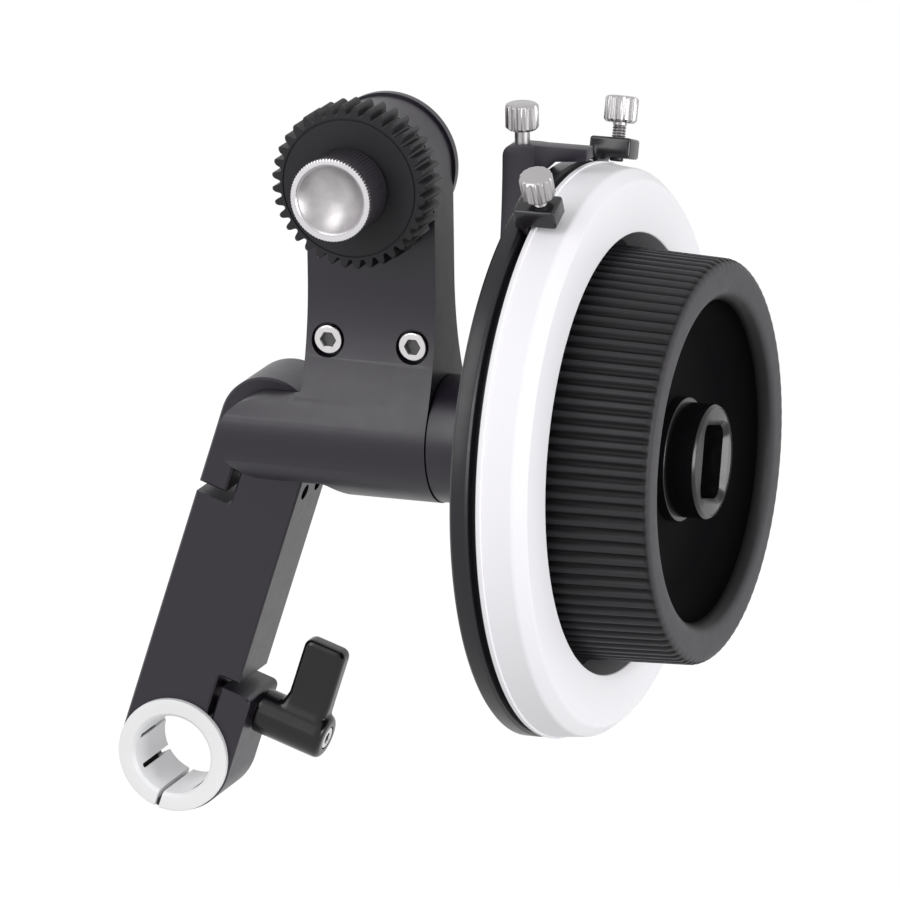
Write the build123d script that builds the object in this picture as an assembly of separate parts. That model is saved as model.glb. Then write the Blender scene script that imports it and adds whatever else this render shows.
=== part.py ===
from build123d import *
import math
import os

os.makedirs("parts", exist_ok=True)

# Lens follow focus. The origin is the centre of the rod bore, midway through the swing arm.
# +X runs towards the focus wheel, +Y runs back along the rods, +Z is up. Millimetres.

# Clearances and shared small sizes
running_gap = 0.05
slip_gap = 0.3
cut_overrun = 1.0
edge_break = 0.35
thread_radius = 1.5
cap_head_radius = 2.75
cap_head_height = 3.0
cap_head_recess_gap = 0.45
head_rim_share = 0.125
hex_socket_across = 2.5
hex_socket_depth = 1.4

# Rod bushing
rod_bore_radius = 7.5
bushing_wall = 2.0
bushing_flange_lip = 1.3
bushing_flange_thickness = 1.1
bushing_bore_chamfer = 0.6
bushing_slit_width = 0.9
bushing_slit_depth = 1.2
bushing_slit_count = 6

# Swing arm, drawn upright in its own frame with the rod bore at the origin
arm_lean_degrees = 18.4
arm_width = 18.9
arm_depth = 14.4
hinge_to_bore = 67.7
foot_wall = 1.55
jaw_step = 3.2
lower_jaw_cover = 3.8
notch_height = 2.1
lower_slot_start = 3.6
lower_slot_width = 1.2
upper_slot_start = 2.4
upper_slot_width = 1.6
notch_fillet = 0.9
jaw_corner_fillet = 1.2
hinge_bore_radius = 5.5
pinch_screw_cover = 3.5
pinch_screw_foot = 4.7
pinch_screw_web = 0.2
pinch_screw_reach = 13.0

# Clamp lever
stud_radius = 2.45
stud_cover = 0.35
stud_depth_in_arm = 7.5
lever_hub_wall = 1.85
lever_hub_length = 13.9
lever_hub_fillet = 1.2
paddle_start = 4.6
paddle_width = 8.3
paddle_reach = 17.6
paddle_thickness = 4.2
paddle_corner_fillet = 1.6
paddle_edge_fillet = 0.9
lever_screw_head_radius = 2.1
lever_screw_head_height = 2.0
lever_screw_socket_across = 2.0

# Drive head, drawn in its own frame: the wheel axis is X, and the gear arm is centred on x = 0
wheel_axis_forward = 4.2
wheel_axis_rise = 0.25
hinge_to_gear_plane = 21.8
gear_axis_height = 49.9
gear_arm_width = 25.0
front_face_offset = 5.0
rear_face_offset = 4.6
barrel_radius = 12.0
barrel_wall = 2.0
barrel_end_wall = 2.4
flare_top = 30.0
tongue_radius = 7.8
tongue_shift = 1.2
tongue_drop = 0.46
tongue_fillet = 3.0
barrel_step_start = 8.6
barrel_step_run = 4.2
step_fillet = 2.2
housing_side_gap = 0.35
housing_screw_web = 0.35
housing_screw_height = 18.4
housing_screw_head_height = 1.6
housing_screw_length = 8.6
rear_cap_lip = 0.5
rear_cap_thickness = 2.4
rear_cap_edge = 0.8
cap_screw_count = 3
cap_thread_radius = 1.0
cap_screw_head_radius = 1.9
cap_screw_head_depth = 1.2
cap_screw_length = 3.2

# Head hinge
hinge_pin_seat_depth = 5.0
hinge_washer_lip = 1.9
hinge_washer_thickness = 1.0
hinge_screw_radius = 2.0
hinge_screw_length = 8.0
hinge_screw_head_radius = 3.8
hinge_screw_head_height = 2.2

# Output collar and its bearings
collar_radius = 11.8
collar_length = 19.1
collar_wall = 2.0
bearing_width = 5.0
bearing_lip = 0.9
wheel_shaft_radius = 4.0

# Bevel pair and belt drive
bevel_side_gap = 0.65
bevel_face_width = 1.5
bevel_tooth_rise = 0.35
bevel_groove_depth = 0.9
bevel_groove_share = 0.57
bevel_tooth_count = 16
bevel_back_length = 1.7
bevel_back_radius = 4.6
cross_shaft_radius = 2.0
cross_bush_wall = 1.8
cross_bush_length = 1.5
cross_end_gap = 0.15
belt_gear_gap = 0.15
belt_thickness = 0.8
belt_half_width = 2.0
pulley_half_width = 2.5
pulley_side_gap = 0.1
pulley_tooth_count = 16
pulley_tooth_depth = 0.4
pulley_tooth_share = 0.49
pocket_round_gap = 1.65
pocket_side_gap = 0.8

# Lens gear, spindle and gear knob
gear_module = 0.8
gear_tooth_count = 36
gear_width = 8.0
gear_stand_off = 2.35
gear_edge_break = 0.5
gear_tip_share = 0.36
gear_root_share = 1.05
gear_ring_inset = 0.8
gear_ring_depth = 0.25
gear_ring_width = 0.35
spindle_radius = 2.5
spindle_bush_wall = 2.1
spindle_boss_wall = 1.6
spindle_rear_reach = 0.6
knob_radius = 7.6
knob_length = 9.0
knob_wall = 0.7
knob_flute_count = 48
knob_flute_depth = 0.35
knob_flute_share = 0.6
knob_insert_depth = 5.0
knob_insert_rim = 1.0
knob_insert_proud = 0.5
knob_dish_depth = 2.9
knob_end_wall = 0.8

# Focus wheel
disc_stand_off = 1.3
disc_thickness = 3.5
disc_edge_break = 0.5
disc_step_depth = 2.4
groove_width = 1.5
grip_radius = 38.0
grip_taper = 1.0
grip_length = 25.65
grip_rim_round = 1.9
grip_rim_width = 6.8
grip_inner_round = 1.4
grip_wall = 3.4
grip_web = 3.0
spigot_ledge = 2.3
spigot_height = 1.2
dish_floor_depth = 8.05
dish_wall_round = 5.5
dish_boss_lip = 2.6
grip_rib_count = 96
rib_groove_share = 0.54
rib_groove_depth = 0.55
hub_wall = 2.9
hub_base_lip = 0.9
hub_base_height = 2.0
hub_inset = 0.35
hub_chamfer = 0.7
hub_web = 0.8
socket_width = 12.0
socket_height = 13.4
socket_depth = 5.2
socket_corner = 2.4
socket_chamfer = 0.9
socket_turn_degrees = -15.0
hub_screw_head_radius = 3.5
hub_screw_head_height = 1.6
hub_screw_length = 10.0
wheel_screw_count = 4
wheel_screw_length = 9.0
magnet_radius = 3.0
magnet_wall = 2.0
magnet_thickness = 1.2
magnet_count = 6

# Marking ring
ring_bore_gap = 0.1
ring_width = 8.85
ring_bead_rise = 0.05
ring_bead_width = 1.0
ring_band_drop = 0.35
ring_shoulder_drop = 0.85
ring_shoulder_width = 6.6
ring_face_drop = 2.55

# Index bracket and thumb screws
bracket_inset = 0.7
bracket_thickness = 6.2
bracket_rise = 4.2
bracket_half_width = 2.0
bracket_flare_share = 0.7
bracket_flare_width = 8.0
bracket_bend_share = 0.28
bracket_eye_wall = 3.6
bracket_corner_fillet = 2.2
finger_length = 9.9
finger_thickness = 2.2
finger_half_width = 1.7
finger_root_web = 1.6
grub_end_gap = 0.2
thumb_head_radius = 3.05
thumb_head_height = 4.85
thumb_head_chamfer = 0.5
thumb_flute_count = 14
thumb_flute_share = 0.44
thumb_flute_depth = 0.35
thumb_shank_radius = 1.4
index_screw_stand_off = 2.5
index_screw_depth = 7.0

# Hard stops
stop_lap = 1.0
stop_length = 7.9
stop_half_width = 2.75
stop_base_gap = 0.8
stop_thickness = 3.7
stop_edge_fillet = 0.35
stop_hook_side_gap = 0.2
stop_hook_floor_gap = 1.1
stop_near_degrees = 24.0
stop_far_degrees = 17.5
stop_screw_inset = 4.6
near_screw_stand_off = 1.6
far_screw_stand_off = 2.8
stop_screw_shank_radius = 1.3
stop_tip_radius = 1.45
stop_tip_gap = 0.15


def at_x(profile, start, end):
    """Extrude a (y, z) sketch along X from start to end."""
    return Pos(start, 0, 0) * extrude(Plane.YZ * profile, amount=end - start, dir=(1, 0, 0))


def at_y(profile, start, end):
    """Extrude an (x, z) sketch along Y from start to end."""
    return Pos(0, start, 0) * extrude(Plane.XZ * profile, amount=end - start, dir=(0, 1, 0))


def rod_x(radius, start, end, y=0, z=0):
    """Make a cylinder along X."""
    return at_x(Pos(y, z) * Circle(radius), start, end)


def rod_y(radius, start, end, x=0, z=0):
    """Make a cylinder along Y."""
    return at_y(Pos(x, z) * Circle(radius), start, end)


def span(low_x, high_x, low_y, high_y):
    """Make a rectangle between two corners."""
    centre = Pos((low_x + high_x) / 2, (low_y + high_y) / 2)
    return centre * Rectangle(high_x - low_x, high_y - low_y)


def block(low, high):
    """Make a box between two corners."""
    middle = [(a + b) / 2 for a, b in zip(low, high)]
    return Pos(*middle) * Box(*[b - a for a, b in zip(low, high)])


def outline(*curves):
    """Make one face from joined curves."""
    return make_face(Curve() + list(curves))


def lathe_x(points, rounds=()):
    """Turn (x, radius) points about X, after rounding the corners listed with their radii."""
    profile = make_face(Polyline(*points, close=True))
    for spot, radius in rounds:
        corner = profile.vertices().sort_by_distance((*spot, 0))[0]
        profile = fillet(corner, radius)
    return revolve(profile, Axis.X)


def lathe_y(points):
    """Turn (radius, y) points about Y."""
    return revolve(make_face(Polyline(*points, close=True)), Axis.Y)


def stand(shape):
    """Stand a shape that was drawn along Y up along Z."""
    return Rot(90, 0, 0) * shape


def upright_edges_at(shape, spots):
    """Pick the edges along Y that stand at the given (x, z) spots."""
    edges = shape.edges().filter_by(Axis.Y)
    return [edge for edge in edges for spot in spots
            if math.dist((edge.center().X, edge.center().Z), spot) < running_gap]


def hexagon_socket(across, depth):
    """Make a hexagonal cutter along Y, open at y = 0 and going to y = depth."""
    return at_y(RegularPolygon(across / math.sqrt(3), 6), -cut_overrun, depth)


def cap_screw(head_radius, head_height, shank_radius, length, across, depth):
    """Make a socket screw along Y, its head's top at y = 0 and its shank towards +Y."""
    rim = head_height * head_rim_share
    screw = lathe_y([(0, 0), (head_radius - rim, 0), (head_radius, rim), (head_radius, head_height),
                     (shank_radius, head_height), (shank_radius, head_height + length),
                     (0, head_height + length)])
    return screw - hexagon_socket(across, depth)


def around_x(shape, count, start_degrees=0):
    """Repeat a shape round the X axis."""
    return [Rot(start_degrees + step * 360 / count, 0, 0) * shape for step in range(count)]


def around_y(shape, count, start_degrees=0):
    """Repeat a shape round the Y axis."""
    return [Rot(0, start_degrees + step * 360 / count, 0) * shape for step in range(count)]


def group(shapes):
    """Keep several pieces together as separate solids."""
    return Compound(children=[solid for shape in shapes for solid in shape.solids()])


# Places that several pieces share, in the swing arm
half_depth = arm_depth / 2
recess_radius = cap_head_radius + cap_head_recess_gap
bushing_radius = rod_bore_radius + bushing_wall
bushing_flange_radius = bushing_radius + bushing_flange_lip
foot_radius = bushing_radius + foot_wall
arm_right = foot_radius - jaw_step
arm_left = arm_right - arm_width
bore_offset = arm_width / 2 - arm_right
lever_height = bushing_radius + stud_radius + stud_cover
lower_jaw_top = lever_height + lower_jaw_cover
pinch_screw_drop = hinge_bore_radius + thread_radius + pinch_screw_cover
pinch_screw_spacing = 2 * recess_radius + pinch_screw_web
upper_jaw_drop = pinch_screw_drop + pinch_screw_foot
hinge_local = (-bore_offset, hinge_to_bore)
lever_start = foot_radius + slip_gap
lever_end = lever_start + lever_hub_length
stud_end = lever_end - lever_screw_head_height * 2
arm_frame = Rot(0, arm_lean_degrees, 0)

# Places that several pieces share, in the drive head
lean = math.radians(arm_lean_degrees)
hinge_x = hinge_to_bore * math.sin(lean) - bore_offset * math.cos(lean)
hinge_z = hinge_to_bore * math.cos(lean) + bore_offset * math.sin(lean)
head_frame = Pos(hinge_x + hinge_to_gear_plane, -wheel_axis_forward, hinge_z + wheel_axis_rise)
gear_frame = head_frame * Pos(0, 0, gear_axis_height)
hinge_head_x = -hinge_to_gear_plane
hinge_head_z = -wheel_axis_rise
hinge_pin_radius = hinge_bore_radius - running_gap
arm_front = wheel_axis_forward - half_depth
washer_start = wheel_axis_forward + half_depth + slip_gap
tongue_rear = arm_front - slip_gap
tongue_seat = tongue_rear - hinge_pin_seat_depth
tongue_top = hinge_head_z - tongue_drop + tongue_radius
tongue_bottom = hinge_head_z - tongue_drop - tongue_radius
half_gear_arm = gear_arm_width / 2
housing_left_edge = hinge_to_gear_plane - arm_width / 2 - housing_side_gap
housing_depth = barrel_radius + cut_overrun
barrel_bore_radius = barrel_radius - barrel_wall
barrel_bore_start = housing_left_edge - barrel_end_wall
step_corners = [(barrel_step_run - barrel_step_start, -barrel_radius), (-barrel_step_start, tongue_bottom)]

# Places that several pieces share, in the bevel pair and the belt drive
cross_bush_radius = cross_shaft_radius + cross_bush_wall
cross_bush_seat = math.sqrt(barrel_bore_radius ** 2 - cross_bush_radius ** 2)
cross_bush_end = cross_bush_seat + cross_bush_length
cross_shaft_end = cross_bush_end - cross_end_gap
bevel_outer_radius = cross_bush_seat - bevel_side_gap - bevel_back_length
bevel_inner_radius = bevel_outer_radius - bevel_face_width
bevel_back = bevel_outer_radius + bevel_back_length
bevel_slant_rise = bevel_tooth_rise * math.sqrt(2)
belt_outer_radius = bevel_inner_radius - bevel_slant_rise - belt_gear_gap
belt_inner_radius = belt_outer_radius - belt_thickness
pulley_radius = belt_inner_radius - running_gap
belt_pocket_radius = belt_outer_radius + pocket_round_gap
belt_pocket_depth = pulley_half_width + pocket_side_gap
housing_screw_place = belt_pocket_radius + thread_radius + housing_screw_web
cap_screw_circle = (belt_pocket_radius + half_gear_arm) / 2
rear_cap_radius = half_gear_arm + rear_cap_lip
rear_cap_back = rear_face_offset + rear_cap_thickness

# Places that several pieces share, at the lens gear
gear_root_radius = gear_module * (gear_tooth_count / 2 - 1.25)
gear_pitch_radius = gear_module * gear_tooth_count / 2
gear_tip_radius = gear_module * (gear_tooth_count / 2 + 1)
gear_ring_radius = gear_root_radius - gear_ring_inset
gear_rear = -front_face_offset - gear_stand_off
gear_front = gear_rear - gear_width
spindle_bush_radius = spindle_radius + spindle_bush_wall
spindle_boss_radius = spindle_bush_radius + spindle_boss_wall
knob_back = gear_front - slip_gap
knob_front = knob_back - knob_length
knob_sleeve_front = knob_front + knob_insert_proud
knob_insert_rear = knob_sleeve_front + knob_insert_depth
knob_insert_radius = knob_radius - knob_wall
spindle_front = knob_insert_rear + knob_end_wall

# Places that several pieces share, in the focus wheel
collar_end = half_gear_arm + collar_length
collar_inner_end = bevel_back + slip_gap
bearing_radius = barrel_bore_radius - collar_wall
disc_rear = collar_end + disc_stand_off
disc_front = disc_rear + disc_thickness
groove_end = disc_front + groove_width
spigot_radius = grip_radius + spigot_ledge
spigot_end = groove_end + spigot_height
magnet_circle = spigot_radius + magnet_wall + magnet_radius
disc_step_radius = magnet_circle + magnet_radius + magnet_wall
disc_radius = disc_step_radius + disc_step_depth
ring_bore_radius = spigot_radius + ring_bore_gap
ring_rear = groove_end + running_gap
ring_front = ring_rear + ring_width
ring_bead_radius = disc_radius + ring_bead_rise
grip_front = spigot_end + grip_length
grip_front_radius = grip_radius - grip_taper
grip_dish_radius = grip_front_radius - grip_rim_width
dish_floor = grip_front - dish_floor_depth
hub_radius = socket_height / 2 + socket_chamfer + hub_wall
hub_base_radius = hub_radius + hub_base_lip
dish_boss_radius = hub_base_radius + dish_boss_lip
wheel_screw_circle = (wheel_shaft_radius + dish_boss_radius) / 2
wheel_screw_end = disc_rear + cap_head_height + wheel_screw_length
hub_front = grip_front - hub_inset
socket_floor = hub_front - socket_depth
wheel_shaft_end = socket_floor - hub_web

# Places that several pieces share, at the index bracket and the hard stops
bracket_front = collar_end - bracket_inset
bracket_rear = bracket_front - bracket_thickness
bracket_middle = bracket_rear + bracket_thickness / 2
bracket_top = disc_radius + bracket_rise
bracket_eye_radius = collar_radius + bracket_eye_wall
stop_start = disc_front - stop_lap
stop_base_radius = disc_radius + stop_base_gap
stop_top_radius = stop_base_radius + stop_thickness
stop_hook_radius = disc_step_radius + stop_hook_floor_gap
stop_screw_place = stop_start + stop_screw_inset


def make_swing_arm():
    """Cut the leaning arm with its two split clamps from one bar."""
    hinge_up = hinge_local[1]
    bar = span(arm_left, arm_right, 0, hinge_up)
    bar += Pos(*hinge_local) * Circle(arm_width / 2)
    bar += Circle(foot_radius)
    bar += span(0, foot_radius, 0, lower_jaw_top)
    notch_top = lower_jaw_top + notch_height
    bar -= span(lower_slot_start, lower_slot_start + lower_slot_width, 0, notch_top)
    bar -= span(lower_slot_start, foot_radius + cut_overrun, lower_jaw_top, notch_top)
    upper_jaw_bottom = hinge_up - upper_jaw_drop
    slot_right = hinge_local[0] - upper_slot_start
    slot_left = slot_right - upper_slot_width
    bar -= span(slot_left, slot_right, upper_jaw_bottom - notch_height, hinge_up)
    bar -= span(arm_left - cut_overrun, slot_right, upper_jaw_bottom - notch_height, upper_jaw_bottom)
    arm = at_y(bar, -half_depth, half_depth)
    corners = [(slot_right, upper_jaw_bottom - notch_height), (lower_slot_start, notch_top)]
    arm = fillet(upright_edges_at(arm, corners), notch_fillet)
    arm = fillet(upright_edges_at(arm, [(foot_radius, lower_jaw_top)]), jaw_corner_fillet)
    faces_y = arm.edges().filter_by(lambda edge: abs(abs(edge.center().Y) - half_depth) < running_gap)
    arm = chamfer(faces_y, edge_break)
    arm -= rod_y(bushing_radius, -arm_depth, arm_depth)
    arm -= rod_y(hinge_bore_radius, -arm_depth, arm_depth, *hinge_local)
    arm -= rod_x(stud_radius + running_gap, -stud_depth_in_arm, foot_radius + cut_overrun, 0, lever_height)
    screw_up = hinge_up - pinch_screw_drop
    for side in (-1, 1):
        place = side * pinch_screw_spacing / 2
        arm -= rod_x(thread_radius, arm_left - cut_overrun, arm_right + cut_overrun, place, screw_up)
        recess_end = arm_left + cap_head_height + edge_break
        arm -= rod_x(recess_radius, arm_left - cut_overrun, recess_end, place, screw_up)
    return arm_frame * arm


def make_pinch_screws():
    """Make the two screws that close the upper clamp on the hinge pin."""
    screw = cap_screw(cap_head_radius, cap_head_height, thread_radius, pinch_screw_reach,
                      hex_socket_across, hex_socket_depth)
    screw = Rot(0, 0, -90) * screw
    head_top = arm_left + edge_break
    height = hinge_local[1] - pinch_screw_drop
    places = [Pos(head_top, side * pinch_screw_spacing / 2, height) for side in (-1, 1)]
    return group([arm_frame * (place * screw) for place in places])


def make_rod_bushing():
    """Turn the flanged split bushing that grips the rod."""
    front = -half_depth - bushing_flange_thickness
    inner = rod_bore_radius
    rim = bushing_bore_chamfer
    body = lathe_y([(inner + rim, front), (bushing_flange_radius - edge_break, front),
                    (bushing_flange_radius, front + edge_break), (bushing_flange_radius, -half_depth),
                    (bushing_radius, -half_depth), (bushing_radius, half_depth),
                    (inner + rim, half_depth), (inner, half_depth - rim), (inner, front + rim)])
    half_slit = bushing_slit_width / 2
    full = block((-half_slit, -arm_depth, -bushing_flange_radius - cut_overrun),
                 (half_slit, arm_depth, 0))
    body -= full
    slit_floor = inner + bushing_slit_depth
    slit = block((-half_slit, -half_depth + bushing_flange_thickness, -slit_floor),
                 (half_slit, half_depth + cut_overrun, 0))
    turn = 360 / bushing_slit_count
    for step in range(1, bushing_slit_count):
        body -= Rot(0, step * turn, 0) * slit
    return arm_frame * body


def make_lever_handle():
    """Model the black clamp lever: a round hub with a flat paddle."""
    hub = rod_x(stud_radius + lever_hub_wall, lever_start, lever_end, 0, lever_height)
    hub = fillet(hub.edges().sort_by(Axis.X)[-1], lever_hub_fillet)
    half = paddle_thickness / 2
    low = lever_start + paddle_start
    high = low + paddle_width
    top = lever_height + paddle_reach
    blade = outline(Polyline((low, lever_height), (low, top), (high, top),
                             (lever_end - lever_hub_fillet, lever_height), close=True))
    paddle = at_y(blade, -half, half)
    tips = paddle.edges().filter_by(Axis.Y).sort_by(Axis.Z)[-2:]
    paddle = fillet(tips, paddle_corner_fillet)
    rims = paddle.edges().filter_by(lambda edge: abs(abs(edge.center().Y) - half) < running_gap
                                    and edge.center().Z > lever_height + running_gap)
    paddle = fillet(rims, paddle_edge_fillet)
    handle = hub + paddle
    handle -= rod_x(stud_radius, lever_start - cut_overrun, stud_end, 0, lever_height)
    recess = lever_screw_head_radius + running_gap
    handle -= rod_x(recess, lever_end - lever_screw_head_height, lever_end + cut_overrun, 0, lever_height)
    handle -= rod_x(thread_radius, lever_start, lever_end, 0, lever_height)
    return arm_frame * handle


def make_clamp_stud():
    """Make the threaded stud that the lever turns."""
    stud = rod_x(stud_radius, slip_gap - stud_depth_in_arm, stud_end, 0, lever_height)
    thread_end = stud_end - lever_screw_head_height * 2
    stud -= rod_x(thread_radius, thread_end, stud_end + cut_overrun, 0, lever_height)
    return arm_frame * stud


def make_lever_screw():
    """Make the bright socket screw in the lever's end."""
    screw = cap_screw(lever_screw_head_radius, lever_screw_head_height, thread_radius,
                      lever_screw_head_height * 2 - slip_gap, lever_screw_socket_across,
                      lever_screw_head_height / 2)
    return arm_frame * (Pos(lever_end, 0, lever_height) * (Rot(0, 0, 90) * screw))


def side_profile(face, side):
    """Draw half of the body's side view: a barrel that blends up into the flat face of the arm."""
    blend = (face ** 2 + flare_top ** 2 - barrel_radius ** 2) / (2 * (barrel_radius - face))
    reach = blend + barrel_radius
    angle = math.asin(flare_top / reach)
    top = gear_axis_height + gear_arm_width
    touch = (side * barrel_radius * math.cos(angle), barrel_radius * math.sin(angle))
    half_blend = (side * (face + blend - blend * math.cos(angle / 2)),
                  flare_top - blend * math.sin(angle / 2))
    low_angle = angle / 2 - math.radians(45)
    low_mid = (side * barrel_radius * math.cos(low_angle), barrel_radius * math.sin(low_angle))
    flat = side * face
    return outline(ThreePointArc((0, -barrel_radius), low_mid, touch),
                   ThreePointArc(touch, half_blend, (flat, flare_top)),
                   Polyline((flat, flare_top), (flat, top), (0, top), (0, -barrel_radius)))


def arm_outline():
    """Draw the upright gear arm and the barrel in front view, without the hinge tongue."""
    shape = span(-half_gear_arm, half_gear_arm, 0, gear_axis_height)
    shape += Pos(0, gear_axis_height) * Circle(half_gear_arm)
    foot = outline(Polyline((-housing_left_edge, half_gear_arm), (half_gear_arm, half_gear_arm),
                            (half_gear_arm, -barrel_radius), *step_corners,
                            (-housing_left_edge, tongue_bottom), close=True))
    return shape + foot


def front_outline():
    """Draw the front housing in front view with its hinge tongue."""
    centre = (hinge_head_x + tongue_shift, hinge_head_z - tongue_drop)
    tongue = Pos(*centre) * Circle(tongue_radius)
    tongue += span(centre[0], 0, tongue_bottom, tongue_top)
    return arm_outline() + tongue


def inner_space():
    """Make the hollow inside the head: the belt pocket and the bore of the barrel."""
    pocket = Circle(belt_pocket_radius)
    pocket += Pos(0, gear_axis_height) * Circle(belt_pocket_radius)
    pocket += span(-belt_pocket_radius, belt_pocket_radius, 0, gear_axis_height)
    space = at_y(pocket, -belt_pocket_depth, belt_pocket_depth)
    space += rod_x(barrel_bore_radius, -barrel_bore_start, half_gear_arm + cut_overrun)
    return space


def head_bores():
    """Make the cutters for the bushes of the spindle and of the cross shaft."""
    bores = rod_y(spindle_bush_radius, gear_rear, rear_face_offset + cut_overrun, 0, gear_axis_height)
    bores += rod_y(cross_bush_radius, -cross_bush_end, cross_bush_end)
    return bores


def swing_clearance():
    """Make the cutter that keeps both housings clear of the swing arm's round end."""
    radius = arm_width / 2 + slip_gap
    return rod_y(radius, tongue_rear, housing_depth, hinge_head_x, hinge_head_z)


def make_front_housing():
    """Make the front half of the head: gear arm, barrel and hinge tongue."""
    plan = at_y(front_outline(), -housing_depth, 0)
    plan = fillet(upright_edges_at(plan, [(-half_gear_arm, tongue_top)]), tongue_fillet)
    plan = fillet(upright_edges_at(plan, step_corners), step_fillet)
    left = hinge_head_x - tongue_radius - barrel_radius
    shape = plan & at_x(side_profile(front_face_offset, -1), left, half_gear_arm)
    shape += rod_y(spindle_boss_radius, gear_rear + slip_gap, -front_face_offset, 0, gear_axis_height)
    shape -= block((left, tongue_rear, -housing_depth),
                   (-housing_left_edge, cut_overrun, tongue_top + tongue_fillet))
    shape -= swing_clearance()
    shape -= inner_space()
    shape -= head_bores()
    shape -= rod_y(hinge_pin_radius, tongue_seat, 0, hinge_head_x, hinge_head_z)
    for place in (-housing_screw_place, housing_screw_place):
        shape -= rod_y(thread_radius, -housing_depth, cut_overrun, place, housing_screw_height)
        shape -= rod_y(recess_radius, -housing_depth, -front_face_offset + edge_break,
                       place, housing_screw_height)
    return head_frame * shape


def make_rear_housing():
    """Make the rear half of the head, which closes the belt pocket."""
    plan = at_y(arm_outline(), 0, housing_depth)
    plan = fillet(upright_edges_at(plan, step_corners), step_fillet)
    shape = plan & at_x(side_profile(rear_face_offset, 1), -half_gear_arm, half_gear_arm)
    shape -= swing_clearance()
    shape -= inner_space()
    shape -= head_bores()
    reach = -front_face_offset + edge_break * 2 + housing_screw_length
    for place in (-housing_screw_place, housing_screw_place):
        shape -= rod_y(thread_radius, -cut_overrun, reach, place, housing_screw_height)
    for x, z in cap_screw_places():
        shape -= rod_y(cap_thread_radius, 0, rear_face_offset + cut_overrun, x, z)
    return head_frame * shape


def cap_screw_places():
    """Give the (x, z) places of the rear cap's screws round the gear axis."""
    turns = [math.radians(90 + step * 360 / cap_screw_count) for step in range(cap_screw_count)]
    return [(cap_screw_circle * math.cos(turn), gear_axis_height + cap_screw_circle * math.sin(turn))
            for turn in turns]


def make_rear_cap():
    """Turn the round cap behind the gear axis."""
    back = rear_cap_back
    cap = lathe_y([(0, rear_face_offset), (rear_cap_radius, rear_face_offset),
                   (rear_cap_radius, back - rear_cap_edge), (rear_cap_radius - rear_cap_edge, back),
                   (0, back)])
    cap = Pos(0, 0, gear_axis_height) * cap
    cap -= rod_y(spindle_radius + slip_gap, 0, rear_face_offset + spindle_rear_reach + slip_gap,
                 0, gear_axis_height)
    for x, z in cap_screw_places():
        cap -= Pos(x, back, z) * cap_screw_cutter()
    return head_frame * cap


def cap_screw_cutter():
    """Make the countersunk hole of a rear cap screw, its mouth at y = 0."""
    head = cap_screw_head_radius
    return lathe_y([(0, cut_overrun), (head, cut_overrun), (head, 0),
                    (cap_thread_radius, -cap_screw_head_depth), (cap_thread_radius, -rear_cap_thickness * 2),
                    (0, -rear_cap_thickness * 2)])


def make_rear_cap_screws():
    """Make the countersunk screws of the rear cap."""
    screw = lathe_y([(0, 0), (cap_screw_head_radius, 0), (cap_thread_radius, -cap_screw_head_depth),
                     (cap_thread_radius, -cap_screw_length), (0, -cap_screw_length)])
    screw -= Rot(180, 0, 0) * hexagon_socket(cap_thread_radius, cap_screw_head_depth / 2)
    return group([head_frame * (Pos(x, rear_cap_back, z) * screw) for x, z in cap_screw_places()])


def make_housing_screws():
    """Make the two bright socket screws on the front of the gear arm."""
    top = -front_face_offset + edge_break - housing_screw_head_height
    screw = cap_screw(cap_head_radius, housing_screw_head_height, thread_radius, housing_screw_length,
                      hex_socket_across, hex_socket_depth)
    places = [Pos(side * housing_screw_place, top, housing_screw_height) for side in (-1, 1)]
    return group([head_frame * (place * screw) for place in places])


def make_hinge_pin():
    """Make the pin that the head swings on, from the tongue through the swing arm."""
    pin = rod_y(hinge_pin_radius, tongue_seat, washer_start, hinge_head_x, hinge_head_z)
    thread_end = washer_start - hinge_screw_length - slip_gap
    pin -= rod_y(hinge_screw_radius, thread_end, washer_start, hinge_head_x, hinge_head_z)
    return head_frame * pin


def make_hinge_washer():
    """Make the washer that keeps the head on the swing arm."""
    radius = hinge_bore_radius + hinge_washer_lip
    end = washer_start + hinge_washer_thickness
    washer = rod_y(radius, washer_start, end, hinge_head_x, hinge_head_z)
    washer -= rod_y(hinge_screw_radius, washer_start, end, hinge_head_x, hinge_head_z)
    return head_frame * washer


def make_hinge_screw():
    """Make the screw in the rear end of the hinge pin."""
    top = washer_start + hinge_washer_thickness + hinge_screw_head_height
    screw = cap_screw(hinge_screw_head_radius, hinge_screw_head_height, hinge_screw_radius,
                      hinge_screw_length, hex_socket_across, hex_socket_depth)
    return head_frame * (Pos(hinge_head_x, top, hinge_head_z) * (Rot(180, 0, 0) * screw))


def make_output_collar():
    """Turn the collar that carries the wheel shaft's bearings."""
    lip = bearing_radius - bearing_lip
    first_seat = half_gear_arm + bearing_width
    last_seat = collar_end - bearing_width
    collar = lathe_x([(collar_inner_end, lip), (collar_inner_end, barrel_bore_radius),
                      (half_gear_arm, barrel_bore_radius), (half_gear_arm, collar_radius),
                      (collar_end, collar_radius), (collar_end, bearing_radius), (last_seat, bearing_radius),
                      (last_seat, lip), (first_seat, lip), (first_seat, bearing_radius),
                      (half_gear_arm, bearing_radius), (half_gear_arm, lip)])
    return head_frame * collar


def make_shaft_bearings():
    """Make the two bearings of the wheel shaft as plain rings."""
    starts = (half_gear_arm, collar_end - bearing_width)
    rings = [rod_x(bearing_radius, start, start + bearing_width)
             - rod_x(wheel_shaft_radius + running_gap, start, start + bearing_width) for start in starts]
    return group([head_frame * ring for ring in rings])


def make_spindle_bushes():
    """Make the front and rear bushes of the gear spindle."""
    spans = ((gear_rear + slip_gap, -pulley_half_width - pulley_side_gap),
             (belt_pocket_depth, rear_face_offset))
    bushes = [rod_y(spindle_bush_radius, start, end) - rod_y(spindle_radius + running_gap, start, end)
              for start, end in spans]
    return group([gear_frame * bush for bush in bushes])


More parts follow.
